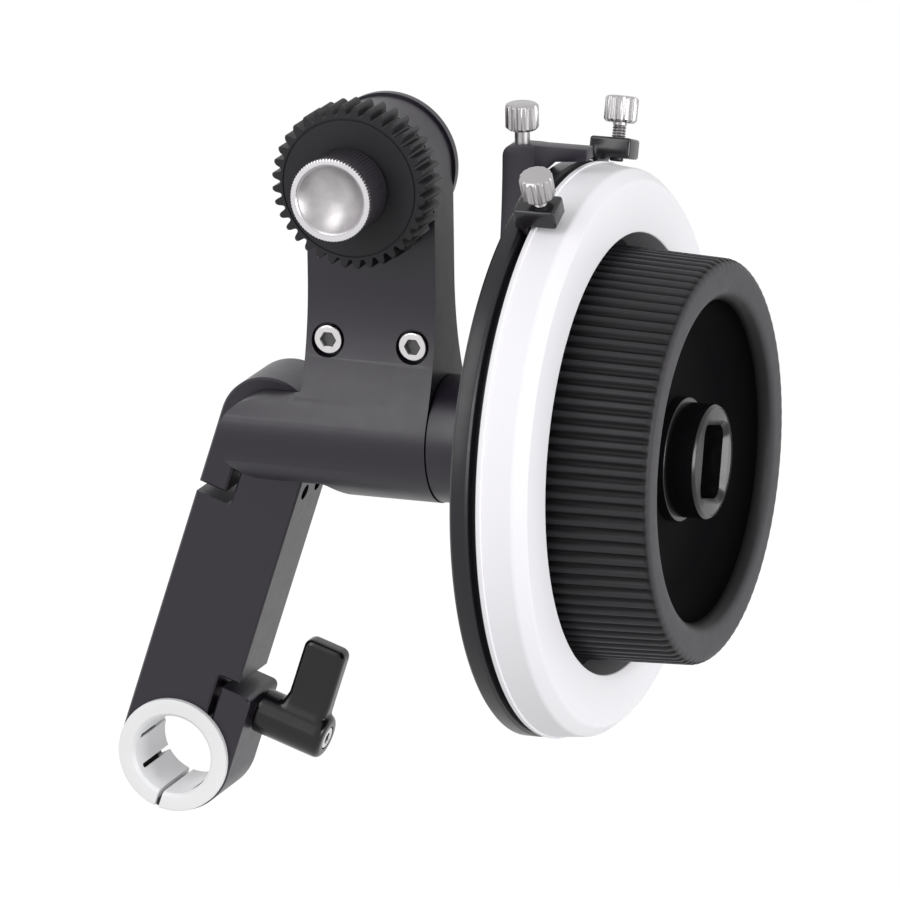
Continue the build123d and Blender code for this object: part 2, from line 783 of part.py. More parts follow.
def make_cross_bushes():
    """Make the two end bushes of the cross shaft."""
    bush = rod_y(cross_bush_radius, cross_bush_seat, cross_bush_end)
    bush -= rod_y(cross_shaft_radius + running_gap, cross_bush_seat, cross_bush_end)
    return group([head_frame * bush, head_frame * (Rot(0, 0, 180) * bush)])


def bevel_gear():
    """Make a bevel gear on the X axis, its apex at the origin and its teeth facing back to the apex."""
    rise = bevel_slant_rise
    outer = bevel_outer_radius
    inner = bevel_inner_radius
    gear = lathe_x([(inner - rise, inner), (outer - rise, outer), (outer + rise, outer - rise),
                    (bevel_back, bevel_back_radius), (bevel_back, 0), (inner + rise, 0),
                    (inner + rise, inner - rise * 2)])
    middle = (outer + inner) / 2
    groove_width = bevel_groove_share * 2 * math.pi * outer / bevel_tooth_count
    cutter = Box(bevel_face_width * 3, groove_width, bevel_groove_depth * 2)
    cutter = Pos(middle, 0, middle) * (Rot(0, -45, 0) * (Pos(0, 0, bevel_tooth_rise) * cutter))
    for tooth in around_x(cutter, bevel_tooth_count):
        gear -= tooth
    return gear


def make_wheel_bevel_gear():
    """Make the bevel gear on the wheel shaft's inner end."""
    half_tooth = 180 / bevel_tooth_count
    gear = Rot(half_tooth, 0, 0) * bevel_gear()
    gear -= rod_x(wheel_shaft_radius, bevel_outer_radius, bevel_back)
    return head_frame * gear


def make_cross_bevel_gear():
    """Make the bevel gear on the cross shaft, in mesh with the wheel's gear."""
    gear = Rot(0, 0, -90) * bevel_gear()
    gear -= rod_y(cross_shaft_radius, -cross_shaft_end, 0)
    return head_frame * gear


def make_cross_shaft():
    """Make the short shaft across the barrel that turns the belt."""
    return head_frame * rod_y(cross_shaft_radius, -cross_shaft_end, cross_shaft_end)


def pulley(bore):
    """Make a toothed belt pulley on the Y axis."""
    wheel = rod_y(pulley_radius, -pulley_half_width, pulley_half_width)
    half = pulley_tooth_share * math.pi * pulley_radius / pulley_tooth_count
    tooth = block((-half, -pulley_half_width, pulley_radius - pulley_tooth_depth),
                  (half, pulley_half_width, pulley_radius + pulley_tooth_depth))
    for groove in around_y(tooth, pulley_tooth_count):
        wheel -= groove
    return wheel - rod_y(bore, -pulley_half_width, pulley_half_width)


def make_lower_pulley():
    """Make the pulley on the cross shaft."""
    return head_frame * pulley(cross_shaft_radius)


def make_upper_pulley():
    """Make the pulley on the gear spindle."""
    return gear_frame * pulley(spindle_radius)


def belt_loop(radius):
    """Draw a face round both pulleys at one radius."""
    loop = Circle(radius) + Pos(0, gear_axis_height) * Circle(radius)
    return loop + span(-radius, radius, 0, gear_axis_height)


def make_timing_belt():
    """Make the belt that joins the two pulleys."""
    ring = belt_loop(belt_outer_radius) - belt_loop(belt_inner_radius)
    return head_frame * at_y(ring, -belt_half_width, belt_half_width)


def make_gear_spindle():
    """Make the spindle that carries the lens gear and the knob."""
    return gear_frame * rod_y(spindle_radius, spindle_front, rear_face_offset + spindle_rear_reach)


def make_lens_gear():
    """Cut the lens gear with its straight teeth and the ring groove on its face."""
    tip_half = gear_module * gear_tip_share
    pitch_half = gear_module * math.pi / 4 - running_gap
    root_half = gear_module * gear_root_share
    tooth = outline(Polyline((-root_half, gear_root_radius), (-pitch_half, gear_pitch_radius),
                             (-tip_half, gear_tip_radius), (tip_half, gear_tip_radius),
                             (pitch_half, gear_pitch_radius), (root_half, gear_root_radius),
                             (0, gear_root_radius - gear_module), close=True))
    turn = 360 / gear_tooth_count
    toothed = Circle(gear_root_radius)
    toothed += [Rot(0, 0, turn * step) * tooth for step in range(gear_tooth_count)]
    gear = at_y(toothed, gear_front, gear_rear)
    slope = gear_edge_break
    envelope = lathe_y([(0, gear_front), (gear_tip_radius - slope, gear_front),
                        (gear_tip_radius, gear_front + slope), (gear_tip_radius, gear_rear - slope),
                        (gear_tip_radius - slope, gear_rear), (0, gear_rear)])
    gear &= envelope
    groove = rod_y(gear_ring_radius + gear_ring_width, gear_front, gear_front + gear_ring_depth)
    groove -= rod_y(gear_ring_radius, gear_front, gear_front + gear_ring_depth)
    gear -= groove
    gear -= rod_y(spindle_radius, gear_front, gear_rear)
    return gear_frame * gear


def make_knob_sleeve():
    """Make the knurled black nut that holds the lens gear."""
    front = knob_sleeve_front
    sleeve = rod_y(knob_radius, front, knob_back)
    half = knob_flute_share * math.pi * knob_radius / knob_flute_count
    flute = block((-half, front, knob_radius - knob_flute_depth),
                  (half, knob_back - half * 2, knob_radius + knob_flute_depth))
    for groove in around_y(flute, knob_flute_count):
        sleeve -= groove
    sleeve -= rod_y(knob_insert_radius, front, knob_insert_rear)
    sleeve -= rod_y(spindle_radius + running_gap, spindle_front - slip_gap, knob_back)
    return gear_frame * sleeve


def make_knob_insert():
    """Turn the bright insert with its round dish."""
    dish = knob_insert_radius - knob_insert_rim
    ball = (dish ** 2 + knob_dish_depth ** 2) / (2 * knob_dish_depth)
    bevel = knob_insert_proud / 2
    plug = lathe_y([(0, knob_insert_rear), (knob_insert_radius, knob_insert_rear),
                    (knob_insert_radius, knob_front + bevel), (knob_insert_radius - bevel, knob_front),
                    (0, knob_front)])
    plug -= Pos(0, knob_front + knob_dish_depth - ball, 0) * Sphere(ball)
    return gear_frame * plug


def make_wheel_shaft():
    """Make the shaft that carries the focus wheel and its bevel gear."""
    shaft = rod_x(wheel_shaft_radius, bevel_outer_radius, wheel_shaft_end)
    shaft -= rod_x(thread_radius, wheel_shaft_end - hub_screw_length, wheel_shaft_end)
    return head_frame * shaft


def make_wheel_disc():
    """Turn the black disc with its rim, groove and the spigot that centres the marking ring."""
    rim = disc_edge_break
    disc = lathe_x([(disc_rear, wheel_shaft_radius), (disc_rear, disc_radius - rim),
                    (disc_rear + rim, disc_radius), (disc_front - rim, disc_radius),
                    (disc_front, disc_radius - rim), (disc_front, disc_step_radius),
                    (groove_end, disc_step_radius), (groove_end, spigot_radius),
                    (spigot_end, spigot_radius), (spigot_end, wheel_shaft_radius)])
    pocket = rod_x(magnet_radius, groove_end - magnet_thickness, groove_end, magnet_circle)
    for cutter in around_x(pocket, magnet_count):
        disc -= cutter
    hole = rod_x(thread_radius, disc_rear, spigot_end, wheel_screw_circle)
    hole += rod_x(cap_head_radius, disc_rear, disc_rear + cap_head_height, wheel_screw_circle)
    for cutter in around_x(hole, wheel_screw_count):
        disc -= cutter
    return head_frame * disc


def make_disc_magnets():
    """Make the magnets in the disc's face that hold the marking ring."""
    magnet = rod_x(magnet_radius, groove_end - magnet_thickness, groove_end, magnet_circle)
    return group([head_frame * piece for piece in around_x(magnet, magnet_count)])


def make_wheel_screws():
    """Make the screws that hold the hand wheel to the disc."""
    screw = cap_screw(cap_head_radius, cap_head_height, thread_radius, wheel_screw_length,
                      hex_socket_across, hex_socket_depth)
    screw = Pos(disc_rear, wheel_screw_circle, 0) * (Rot(0, 0, -90) * screw)
    return group([head_frame * piece for piece in around_x(screw, wheel_screw_count)])


def make_hand_grip():
    """Turn the dished hand wheel and cut the ribs of its grip."""
    inner = grip_radius - grip_wall
    web = dish_floor - grip_web
    outer_rim = (grip_front, grip_front_radius)
    inner_rim = (grip_front, grip_dish_radius)
    dish_corner = (dish_floor, grip_dish_radius)
    wheel = lathe_x([(spigot_end, wheel_shaft_radius), (spigot_end, dish_boss_radius),
                     (web - grip_web, dish_boss_radius), (web, dish_boss_radius + grip_web),
                     (web, inner - grip_web), (web - grip_web, inner), (spigot_end, inner),
                     (spigot_end, grip_radius), outer_rim, inner_rim, dish_corner,
                     (dish_floor, wheel_shaft_radius)],
                    [(outer_rim, grip_rim_round), (inner_rim, grip_inner_round),
                     (dish_corner, dish_wall_round)])
    slope = math.degrees(math.atan(grip_taper / grip_length))
    length = grip_length + cut_overrun * 2
    half = rib_groove_share * math.pi * grip_radius / grip_rib_count
    vee = outline(Polyline((-half * 2, rib_groove_depth), (half * 2, rib_groove_depth),
                           (0, -rib_groove_depth), close=True))
    groove = Pos(spigot_end - cut_overrun, 0, grip_radius) * (Rot(0, slope, 0) * at_x(vee, 0, length))
    wheel -= around_x(groove, grip_rib_count)
    hole = rod_x(thread_radius, spigot_end - cut_overrun, wheel_screw_end, wheel_screw_circle)
    for cutter in around_x(hole, wheel_screw_count):
        wheel -= cutter
    return head_frame * wheel


def make_whip_hub():
    """Make the hub with the square socket for a focus whip or crank."""
    shoulder = dish_floor + hub_base_height
    hub = lathe_x([(dish_floor, 0), (dish_floor, hub_base_radius), (shoulder, hub_base_radius),
                   (shoulder, hub_radius), (hub_front - hub_chamfer, hub_radius),
                   (hub_front, hub_radius - hub_chamfer), (hub_front, 0)])
    mouth = RectangleRounded(socket_width, socket_height, socket_corner)
    wide = RectangleRounded(socket_width + socket_chamfer * 2, socket_height + socket_chamfer * 2,
                            socket_corner + socket_chamfer)
    socket = at_x(mouth, socket_floor, hub_front)
    socket += loft([Pos(hub_front - socket_chamfer, 0, 0) * (Plane.YZ * mouth),
                    Pos(hub_front, 0, 0) * (Plane.YZ * wide)])
    hub -= Rot(socket_turn_degrees, 0, 0) * socket
    hub -= rod_x(wheel_shaft_radius, dish_floor, wheel_shaft_end)
    hub -= rod_x(thread_radius, dish_floor, socket_floor)
    return head_frame * hub


def make_hub_screw():
    """Make the screw at the bottom of the socket, which holds the hub on the shaft."""
    screw = cap_screw(hub_screw_head_radius, hub_screw_head_height, thread_radius, hub_screw_length,
                      hex_socket_across, hub_screw_head_height / 2)
    return head_frame * (Pos(socket_floor + hub_screw_head_height, 0, 0) * (Rot(0, 0, 90) * screw))


def make_marking_ring():
    """Turn the white ring that focus marks are written on."""
    edge = edge_break
    bead = ring_bead_radius
    face = bead - ring_face_drop
    ring = lathe_x([(ring_rear, ring_bore_radius), (ring_rear, bead - edge), (ring_rear + edge, bead),
                    (ring_rear + ring_bead_width, bead),
                    (ring_rear + ring_bead_width + edge, bead - ring_band_drop),
                    (ring_rear + ring_shoulder_width, bead - ring_shoulder_drop),
                    (ring_front - edge, face + edge), (ring_front, face),
                    (ring_front, ring_bore_radius + edge), (ring_front - edge, ring_bore_radius)])
    pocket = rod_x(magnet_radius, ring_rear, ring_rear + magnet_thickness, magnet_circle)
    for cutter in around_x(pocket, magnet_count):
        ring -= cutter
    return head_frame * ring


def make_ring_magnets():
    """Make the magnets in the back of the marking ring."""
    magnet = rod_x(magnet_radius, ring_rear, ring_rear + magnet_thickness, magnet_circle)
    return group([head_frame * piece for piece in around_x(magnet, magnet_count)])


def make_index_bracket():
    """Make the post behind the disc with the index finger over the marking ring."""
    drop = bracket_top * bracket_flare_share
    low = bracket_top - drop
    wide = bracket_half_width + bracket_flare_width
    near = (bracket_half_width + bracket_flare_width * bracket_bend_share, bracket_top - drop / 2)
    side = outline(ThreePointArc((-bracket_half_width, bracket_top), (-near[0], near[1]), (-wide, low)),
                   Polyline((-wide, low), (-wide, 0), (wide, 0), (wide, low)),
                   ThreePointArc((wide, low), near, (bracket_half_width, bracket_top)),
                   Line((bracket_half_width, bracket_top), (-bracket_half_width, bracket_top)))
    post = at_x(side + Circle(bracket_eye_radius), bracket_rear, bracket_front)
    post = fillet(upright_edges_at(post, [(bracket_rear, bracket_top)]), bracket_corner_fillet)
    finger_end = bracket_front + finger_length
    finger_foot = bracket_top - finger_thickness
    finger = outline(Polyline((bracket_front, bracket_top), (bracket_front, finger_foot - finger_root_web),
                              (bracket_front + finger_root_web, finger_foot), (finger_end, finger_foot),
                              (finger_end, bracket_top), close=True))
    post += at_y(finger, -finger_half_width, finger_half_width)
    post -= rod_x(collar_radius, bracket_rear, bracket_front)
    hole = rod_y(thumb_shank_radius + running_gap, -index_screw_depth - slip_gap, cut_overrun)
    post -= Pos(bracket_middle, 0, bracket_top) * stand(hole)
    grub_hole = rod_y(thread_radius, -bracket_eye_radius, 0)
    post -= Pos(bracket_middle, 0, -collar_radius) * stand(grub_hole)
    return head_frame * post


def make_bracket_grub():
    """Make the grub screw that holds the bracket on the collar."""
    length = bracket_eye_wall - grub_end_gap
    screw = rod_y(thread_radius, -length, 0)
    screw -= Pos(0, -length, 0) * hexagon_socket(thread_radius, thread_radius)
    return head_frame * (Pos(bracket_middle, 0, -collar_radius) * stand(screw))


def thumb_screw(stand_off, depth, shank_radius):
    """Make a fluted thumb screw standing on z = 0 with its shank going down."""
    top = stand_off + thumb_head_height
    head = thumb_head_radius
    lip = thumb_head_chamfer
    profile = Polyline((0, -depth), (shank_radius, -depth), (shank_radius, stand_off),
                       (head - lip, stand_off), (head, stand_off + lip), (head, top - lip),
                       (head - lip, top), (0, top), close=True)
    screw = revolve(make_face(Plane.XZ * profile), Axis.Z)
    half = thumb_flute_share * math.pi * head / thumb_flute_count
    flute = block((head - thumb_flute_depth, -half, stand_off - lip), (head + lip, half, top + lip))
    for step in range(thumb_flute_count):
        screw -= Rot(0, 0, step * 360 / thumb_flute_count) * flute
    return screw


def make_index_thumb_screw():
    """Make the thumb screw with the plain shank on top of the bracket."""
    screw = thumb_screw(index_screw_stand_off, index_screw_depth, thumb_shank_radius)
    return head_frame * (Pos(bracket_middle, 0, bracket_top) * screw)


def stop_block():
    """Make one hard stop at the top of the wheel."""
    end = stop_start + stop_length
    half = stop_half_width
    body = block((stop_start, -half, stop_base_radius), (end, half, stop_top_radius))
    body = fillet(body.edges(), stop_edge_fillet)
    hook_start = disc_front + stop_hook_side_gap
    hook_end = groove_end - stop_hook_side_gap
    body += block((stop_start, -half, disc_radius), (hook_end, half, stop_base_radius + stop_edge_fillet))
    body += block((hook_start, -half, stop_hook_radius), (hook_end, half, stop_base_radius))
    body -= rod_x(disc_radius + running_gap, stop_start - cut_overrun, hook_start)
    body -= rod_x(stop_hook_radius, hook_start - cut_overrun, hook_end + cut_overrun)
    hole = rod_y(stop_tip_radius + running_gap, -stop_length, cut_overrun)
    return body - Pos(stop_screw_place, 0, stop_top_radius) * stand(hole)


def stop_screw(stand_off):
    """Make one hard stop's thumb screw, its tip just clear of the marking ring's bead."""
    depth = stop_top_radius - ring_bead_radius - stop_tip_gap
    screw = thumb_screw(stand_off, depth, stop_screw_shank_radius)
    return Pos(stop_screw_place, 0, stop_top_radius) * screw


def place_stop(shape, degrees):
    """Turn a stop's piece round the wheel axis, positive towards the rods' rear."""
    return head_frame * (Rot(-degrees, 0, 0) * shape)


parts = {
    "swing_arm": make_swing_arm(),
    "rod_bushing": make_rod_bushing(),
    "pinch_screws": make_pinch_screws(),
    "lever_handle": make_lever_handle(),
    "clamp_stud": make_clamp_stud(),
    "lever_screw": make_lever_screw(),
    "front_housing": make_front_housing(),
    "rear_housing": make_rear_housing(),
    "rear_cap": make_rear_cap(),
    "rear_cap_screws": make_rear_cap_screws(),
    "housing_screws": make_housing_screws(),
    "hinge_pin": make_hinge_pin(),
    "hinge_washer": make_hinge_washer(),
    "hinge_screw": make_hinge_screw(),
    "output_collar": make_output_collar(),
    "shaft_bearings": make_shaft_bearings(),
    "spindle_bushes": make_spindle_bushes(),
    "cross_bushes": make_cross_bushes(),
    "index_bracket": make_index_bracket(),
    "bracket_grub": make_bracket_grub(),
    "timing_belt": make_timing_belt(),
    "index_thumb_screw": make_index_thumb_screw(),
    "wheel_shaft": make_wheel_shaft(),
    "wheel_bevel_gear": make_wheel_bevel_gear(),
    "wheel_disc": make_wheel_disc(),
    "disc_magnets": make_disc_magnets(),
    "wheel_screws": make_wheel_screws(),
    "hand_grip": make_hand_grip(),
    "whip_hub": make_whip_hub(),
    "hub_screw": make_hub_screw(),
    "marking_ring": make_marking_ring(),
    "ring_magnets": make_ring_magnets(),
    "near_stop": place_stop(stop_block(), -stop_near_degrees),
    "near_stop_screw": place_stop(stop_screw(near_screw_stand_off), -stop_near_degrees),
    "far_stop": place_stop(stop_block(), stop_far_degrees),
    "far_stop_screw": place_stop(stop_screw(far_screw_stand_off), stop_far_degrees),
    "cross_shaft": make_cross_shaft(),
    "cross_bevel_gear": make_cross_bevel_gear(),
    "lower_pulley": make_lower_pulley(),
    "gear_spindle": make_gear_spindle(),
    "lens_gear": make_lens_gear(),
    "upper_pulley": make_upper_pulley(),
    "knob_sleeve": make_knob_sleeve(),
    "knob_insert": make_knob_insert(),
}

for name, shape in parts.items():
    export_step(shape, f"parts/{name}.step")
    print(name, len(shape.solids()), round(shape.volume, 1))
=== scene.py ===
import logging
import math
from collections.abc import Callable, Sequence
from dataclasses import dataclass
from enum import Enum

import bmesh
import bpy
from mathutils import Matrix, Vector


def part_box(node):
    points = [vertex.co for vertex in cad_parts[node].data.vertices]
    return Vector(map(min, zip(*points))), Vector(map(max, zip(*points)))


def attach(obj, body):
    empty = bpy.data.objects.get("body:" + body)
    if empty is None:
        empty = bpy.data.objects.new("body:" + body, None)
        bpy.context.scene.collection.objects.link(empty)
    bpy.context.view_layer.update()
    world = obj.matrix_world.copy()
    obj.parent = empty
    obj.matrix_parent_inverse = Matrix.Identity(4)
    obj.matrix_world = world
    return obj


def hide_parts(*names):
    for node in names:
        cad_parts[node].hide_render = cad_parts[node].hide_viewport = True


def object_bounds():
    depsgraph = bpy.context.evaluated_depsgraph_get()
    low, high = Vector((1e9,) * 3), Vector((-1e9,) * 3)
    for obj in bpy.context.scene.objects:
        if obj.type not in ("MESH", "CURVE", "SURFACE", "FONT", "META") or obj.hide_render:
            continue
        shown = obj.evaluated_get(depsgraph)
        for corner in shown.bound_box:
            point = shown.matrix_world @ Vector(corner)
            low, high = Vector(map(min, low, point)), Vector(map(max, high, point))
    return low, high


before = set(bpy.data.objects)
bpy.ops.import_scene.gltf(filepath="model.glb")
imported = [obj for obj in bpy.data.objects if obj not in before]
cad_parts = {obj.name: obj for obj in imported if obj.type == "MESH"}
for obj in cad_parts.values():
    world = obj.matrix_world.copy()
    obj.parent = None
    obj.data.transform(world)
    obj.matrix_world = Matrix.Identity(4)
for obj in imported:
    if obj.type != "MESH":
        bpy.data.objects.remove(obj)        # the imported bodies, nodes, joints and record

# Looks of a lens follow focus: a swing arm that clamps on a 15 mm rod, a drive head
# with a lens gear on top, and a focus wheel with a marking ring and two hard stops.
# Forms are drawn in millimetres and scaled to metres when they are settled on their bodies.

log = logging.getLogger("follow_focus")

METRES = 0.001
FULL_TURN = 2 * math.pi
QUARTER_TURN = math.pi / 2
CAD_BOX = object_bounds()

# How far a cutter runs past the solid that it cuts, and how far it stands proud of a face
# that it only opens. Points closer than SAME_PLACE are one, CORNER_LIMIT keeps an inset
# corner from running away, and edges that bend more than CRISP_BEND are eased.
OVERRUN = 1.0
PROUD = 0.01
SAME_PLACE = 1e-6
ALMOST_ZERO = 1e-9
CORNER_LIMIT = 0.35
CRISP_BEND = math.radians(32)

# Where nearly all values of a noise lie, the least roughness of a finish, and the width of
# a wave texture's ring when its scale is 1.
NOISE_SPAN = (0.3, 0.7)
LEAST_ROUGHNESS = 0.02
WAVE_WIDTH = 0.314
WHITE = (1.0, 1.0, 1.0, 1.0)

Radius = float | Callable[[float], float]
Flat = tuple[float, float]
Point = tuple[float, float, float]
Profile = list[tuple[float, Radius]]
Piece = bpy.types.Object
Colour = tuple[float, float, float]
Socket = bpy.types.NodeSocket


class Axis(Enum):
    """The line that a turned form follows; its value is where across, up and along point."""

    X = ((0, 1, 0), (0, 0, 1), (1, 0, 0))
    Y = ((0, 0, 1), (1, 0, 0), (0, 1, 0))
    Z = ((1, 0, 0), (0, 1, 0), (0, 0, 1))

    @property
    def turn(self) -> Matrix:
        """Give the matrix that takes (across, up, along) to x, y and z."""
        return Matrix(self.value).transposed()

    @property
    def line(self) -> Vector:
        """Give the direction of the axis."""
        return Vector(self.value[2])


class View(Enum):
    """The face that a flat outline is drawn on before it gets its depth."""

    FRONT = "front"
    SIDE = "side"
    TOP = "top"

    def point(self, across: float, up: float, depth: float) -> Point:
        """Give the x, y and z of a point of the drawing and its place along the line of sight."""
        if self is View.TOP:
            return across, up, depth
        return (across, depth, up) if self is View.FRONT else (depth, across, up)


class Meeting(Enum):
    """How one solid meets another."""

    CUT = "DIFFERENCE"
    JOIN = "UNION"
    KEEP = "INTERSECT"


# Drawing helpers


def arc(centre: Flat, radius: float, start: float, end: float, steps: int = 12) -> list[Flat]:
    """List the steps + 1 points of an arc between two angles in degrees."""
    angles = [math.radians(start + (end - start) * k / steps) for k in range(steps + 1)]
    return [(centre[0] + radius * math.cos(a), centre[1] + radius * math.sin(a)) for a in angles]


def eased(points: Sequence[Flat], rounds: dict[int, float], steps: int = 5) -> list[Flat]:
    """Round chosen corners of an open outline.

    Args:
        points: the outline's corners.
        rounds: radius for each corner's index.
        steps: chords of each round.

    Returns:
        The outline with arcs in place of those corners.
    """
    result: list[Flat] = []
    for index, spot in enumerate(points):
        radius = rounds.get(index)
        if radius is None:
            result.append(spot)
            continue
        here = Vector(spot)
        back = (Vector(points[index - 1]) - here).normalized()
        ahead = (Vector(points[(index + 1) % len(points)]) - here).normalized()
        half = back.angle(ahead) / 2
        reach = radius / math.tan(half)
        middle = here + (back + ahead).normalized() * (radius / math.sin(half))
        first = here + back * reach - middle
        last = here + ahead * reach - middle
        start = math.atan2(first.y, first.x)
        sweep = math.remainder(math.atan2(last.y, last.x) - start, FULL_TURN)
        for k in range(steps + 1):
            angle = start + sweep * k / steps
            result.append((middle.x + radius * math.cos(angle), middle.y + radius * math.sin(angle)))
    return result


def inset(points: Sequence[Flat], widths: Sequence[float]) -> list[Flat]:
    """Move a closed counter-clockwise outline inwards.

    Args:
        points: the outline's corners.
        widths: how far each corner's two sides move.

    Returns:
        The moved corners, one for each point.
    """
    count = len(points)
    result: list[Flat] = []
    for index, spot in enumerate(points):
        here = Vector(spot)
        before, after = index - 1, index + 1
        while (Vector(points[before % count]) - here).length < SAME_PLACE:
            before -= 1
        while (Vector(points[after % count]) - here).length < SAME_PLACE:
            after += 1
        first = (here - Vector(points[before % count])).normalized()
        last = (Vector(points[after % count]) - here).normalized()
        normal_a = Vector((-first.y, first.x))
        normal_b = Vector((-last.y, last.x))
        share = max(CORNER_LIMIT, 1 + normal_a.dot(normal_b))
        result.append(tuple(here + (normal_a + normal_b) * (widths[index] / share)))
    return result


def densified(points: Sequence[Flat], rise: float) -> list[Flat]:
    """Add points to a rising chain so that no step climbs more than rise.

    Args:
        points: the chain from bottom to top.
        rise: the most that a step may climb.

    Returns:
        The chain with the added points.
    """
    result = [tuple(points[0])]
    for low, high in zip(points, points[1:]):
        parts = max(1, math.ceil(abs(high[1] - low[1]) / rise))
        for k in range(1, parts + 1):
            share = k / parts
            result.append((low[0] + (high[0] - low[0]) * share, low[1] + (high[1] - low[1]) * share))
    return result


def hexagon(across: float) -> Callable[[float], float]:
    """Give the radius of a hexagon at each angle, from its width across its flats."""
    def radius(angle: float) -> float:
        """Give the hexagon's radius at an angle."""
        part = (angle + math.pi / 6) % (math.pi / 3) - math.pi / 6
        return across / 2 / math.cos(part)
    return radius


def rounded_rectangle(width: float, height: float, corner: float, turn: float) -> Callable[[float], float]:
    """Give the radius of a rounded rectangle at each angle.

    Args:
        width: its whole width.
        height: its whole height.
        corner: its corner radius.
        turn: how far it is turned, in degrees.

    Returns:
        A function from angle to radius.
    """
    half_w, half_h = width / 2, height / 2
    mid_w, mid_h = half_w - corner, half_h - corner

    def radius(angle: float) -> float:
        """Give the rounded rectangle's radius at an angle."""
        local = angle - math.radians(turn)
        cos, sin = abs(math.cos(local)), abs(math.sin(local))
        if cos > ALMOST_ZERO and half_w / cos * sin <= mid_h:
            return half_w / cos
        if sin > ALMOST_ZERO and half_h / sin * cos <= mid_w:
            return half_h / sin
        along = mid_w * cos + mid_h * sin
        return along + math.sqrt(max(0.0, along ** 2 - mid_w ** 2 - mid_h ** 2 + corner ** 2))
    return radius


# Mesh helpers


def linked(name: str, data: bpy.types.ID) -> Piece:
    """Make an object from its data and link it to the scene.

    Args:
        name: the object's name.
        data: its mesh, lamp or camera.

    Returns:
        The new object.
    """
    item = bpy.data.objects.new(name, data)
    bpy.context.scene.collection.objects.link(item)
    return item


def raw_object(name: str, points: Sequence, faces: Sequence) -> Piece:
    """Make an object from points and faces.

    Args:
        name: the object's name.
        points: its points in millimetres.
        faces: its faces as tuples of point numbers.

    Returns:
        The new object, linked to the scene.
    """
    mesh = bpy.data.meshes.new(name)
    mesh.from_pydata([tuple(p) for p in points], [], faces)
    return cleaned(linked(name, mesh))


def cleaned(item: Piece, distance: float = 0.0005) -> Piece:
    """Merge doubled points, drop empty faces and turn the faces outwards.

    Args:
        item: the object to clean.
        distance: points closer than this become one.

    Returns:
        The same object.
    """
    shape = bmesh.new()
    shape.from_mesh(item.data)
    bmesh.ops.remove_doubles(shape, verts=shape.verts, dist=distance)
    bmesh.ops.dissolve_degenerate(shape, edges=shape.edges, dist=distance / 5)
    bmesh.ops.recalc_face_normals(shape, faces=shape.faces)
    shape.to_mesh(item.data)
    shape.free()
    return item


def baked(item: Piece) -> Piece:
    """Turn an object's modifiers into plain mesh.

    Args:
        item: the object whose modifiers are applied and removed.

    Returns:
        The same object.
    """
    bpy.context.view_layer.update()
    graph = bpy.context.evaluated_depsgraph_get()
    mesh = bpy.data.meshes.new_from_object(item.evaluated_get(graph))
    item.modifiers.clear()
    old = item.data
    item.data = mesh
    bpy.data.meshes.remove(old)
    return item


def meet(item: Piece, others: Sequence[Piece], how: Meeting) -> Piece:
    """Cut an object with solids or join them to it, and delete them.

    Args:
        item: the object that stays.
        others: the solids that meet it.
        how: what happens where they meet.

    Returns:
        The same object.
    """
    for other in others:
        step = item.modifiers.new("meet", "BOOLEAN")
        step.operation = how.value
        step.solver = "EXACT"
        step.object = other
    baked(item)
    for other in others:
        bpy.data.objects.remove(other)
    return cleaned(item)


def eased_edges(item: Piece, width: float, segments: int = 2,
                share: Callable[[Vector, Vector], float] | None = None) -> Piece:
    """Round an object's crisp edges.

    Args:
        item: the solid whose edges are eased.
        width: the width of the ease.
        segments: 1 for a flat chamfer, more for a round.
        share: gives the part of the width that an edge gets from its two ends, or None for all.

    Returns:
        The same object.
    """
    shape = bmesh.new()
    shape.from_mesh(item.data)
    weight = shape.edges.layers.float.new("bevel_weight_edge")
    for edge in shape.edges:
        if len(edge.link_faces) == 2 and edge.calc_face_angle(0.0) > CRISP_BEND:
            edge[weight] = share(edge.verts[0].co, edge.verts[1].co) if share else 1.0
    shape.to_mesh(item.data)
    shape.free()
    step = item.modifiers.new("ease", "BEVEL")
    step.limit_method = "WEIGHT"
    step.width = width
    step.segments = segments
    step.miter_outer = "MITER_ARC"
    step.use_clamp_overlap = True
    return cleaned(baked(item))


def joined(name: str, items: Sequence[Piece]) -> Piece:
    """Put several shells into one object without cutting them.

    Args:
        name: the new object's name.
        items: the shells, which are deleted.

    Returns:
        The object that holds them all.
    """
    shape = bmesh.new()
    for item in items:
        shape.from_mesh(item.data)
    mesh = bpy.data.meshes.new(name)
    shape.to_mesh(mesh)
    shape.free()
    for item in items:
        bpy.data.objects.remove(item)
    return linked(name, mesh)


def moved(item: Piece, place: Matrix) -> Piece:
    """Move an object's mesh and give the object back."""
    item.data.transform(place)
    return item


def ring_faces(rows: int, count: int) -> list[tuple[int, ...]]:
    """List the faces between closed rings of points that follow one another.

    Args:
        rows: how many rings there are.
        count: how many points each ring has.

    Returns:
        The faces as tuples of point numbers.
    """
    faces = []
    for row in range(rows - 1):
        for k in range(count):
            after = (k + 1) % count
            faces.append((row * count + k, row * count + after,
                          (row + 1) * count + after, (row + 1) * count + k))
    return faces


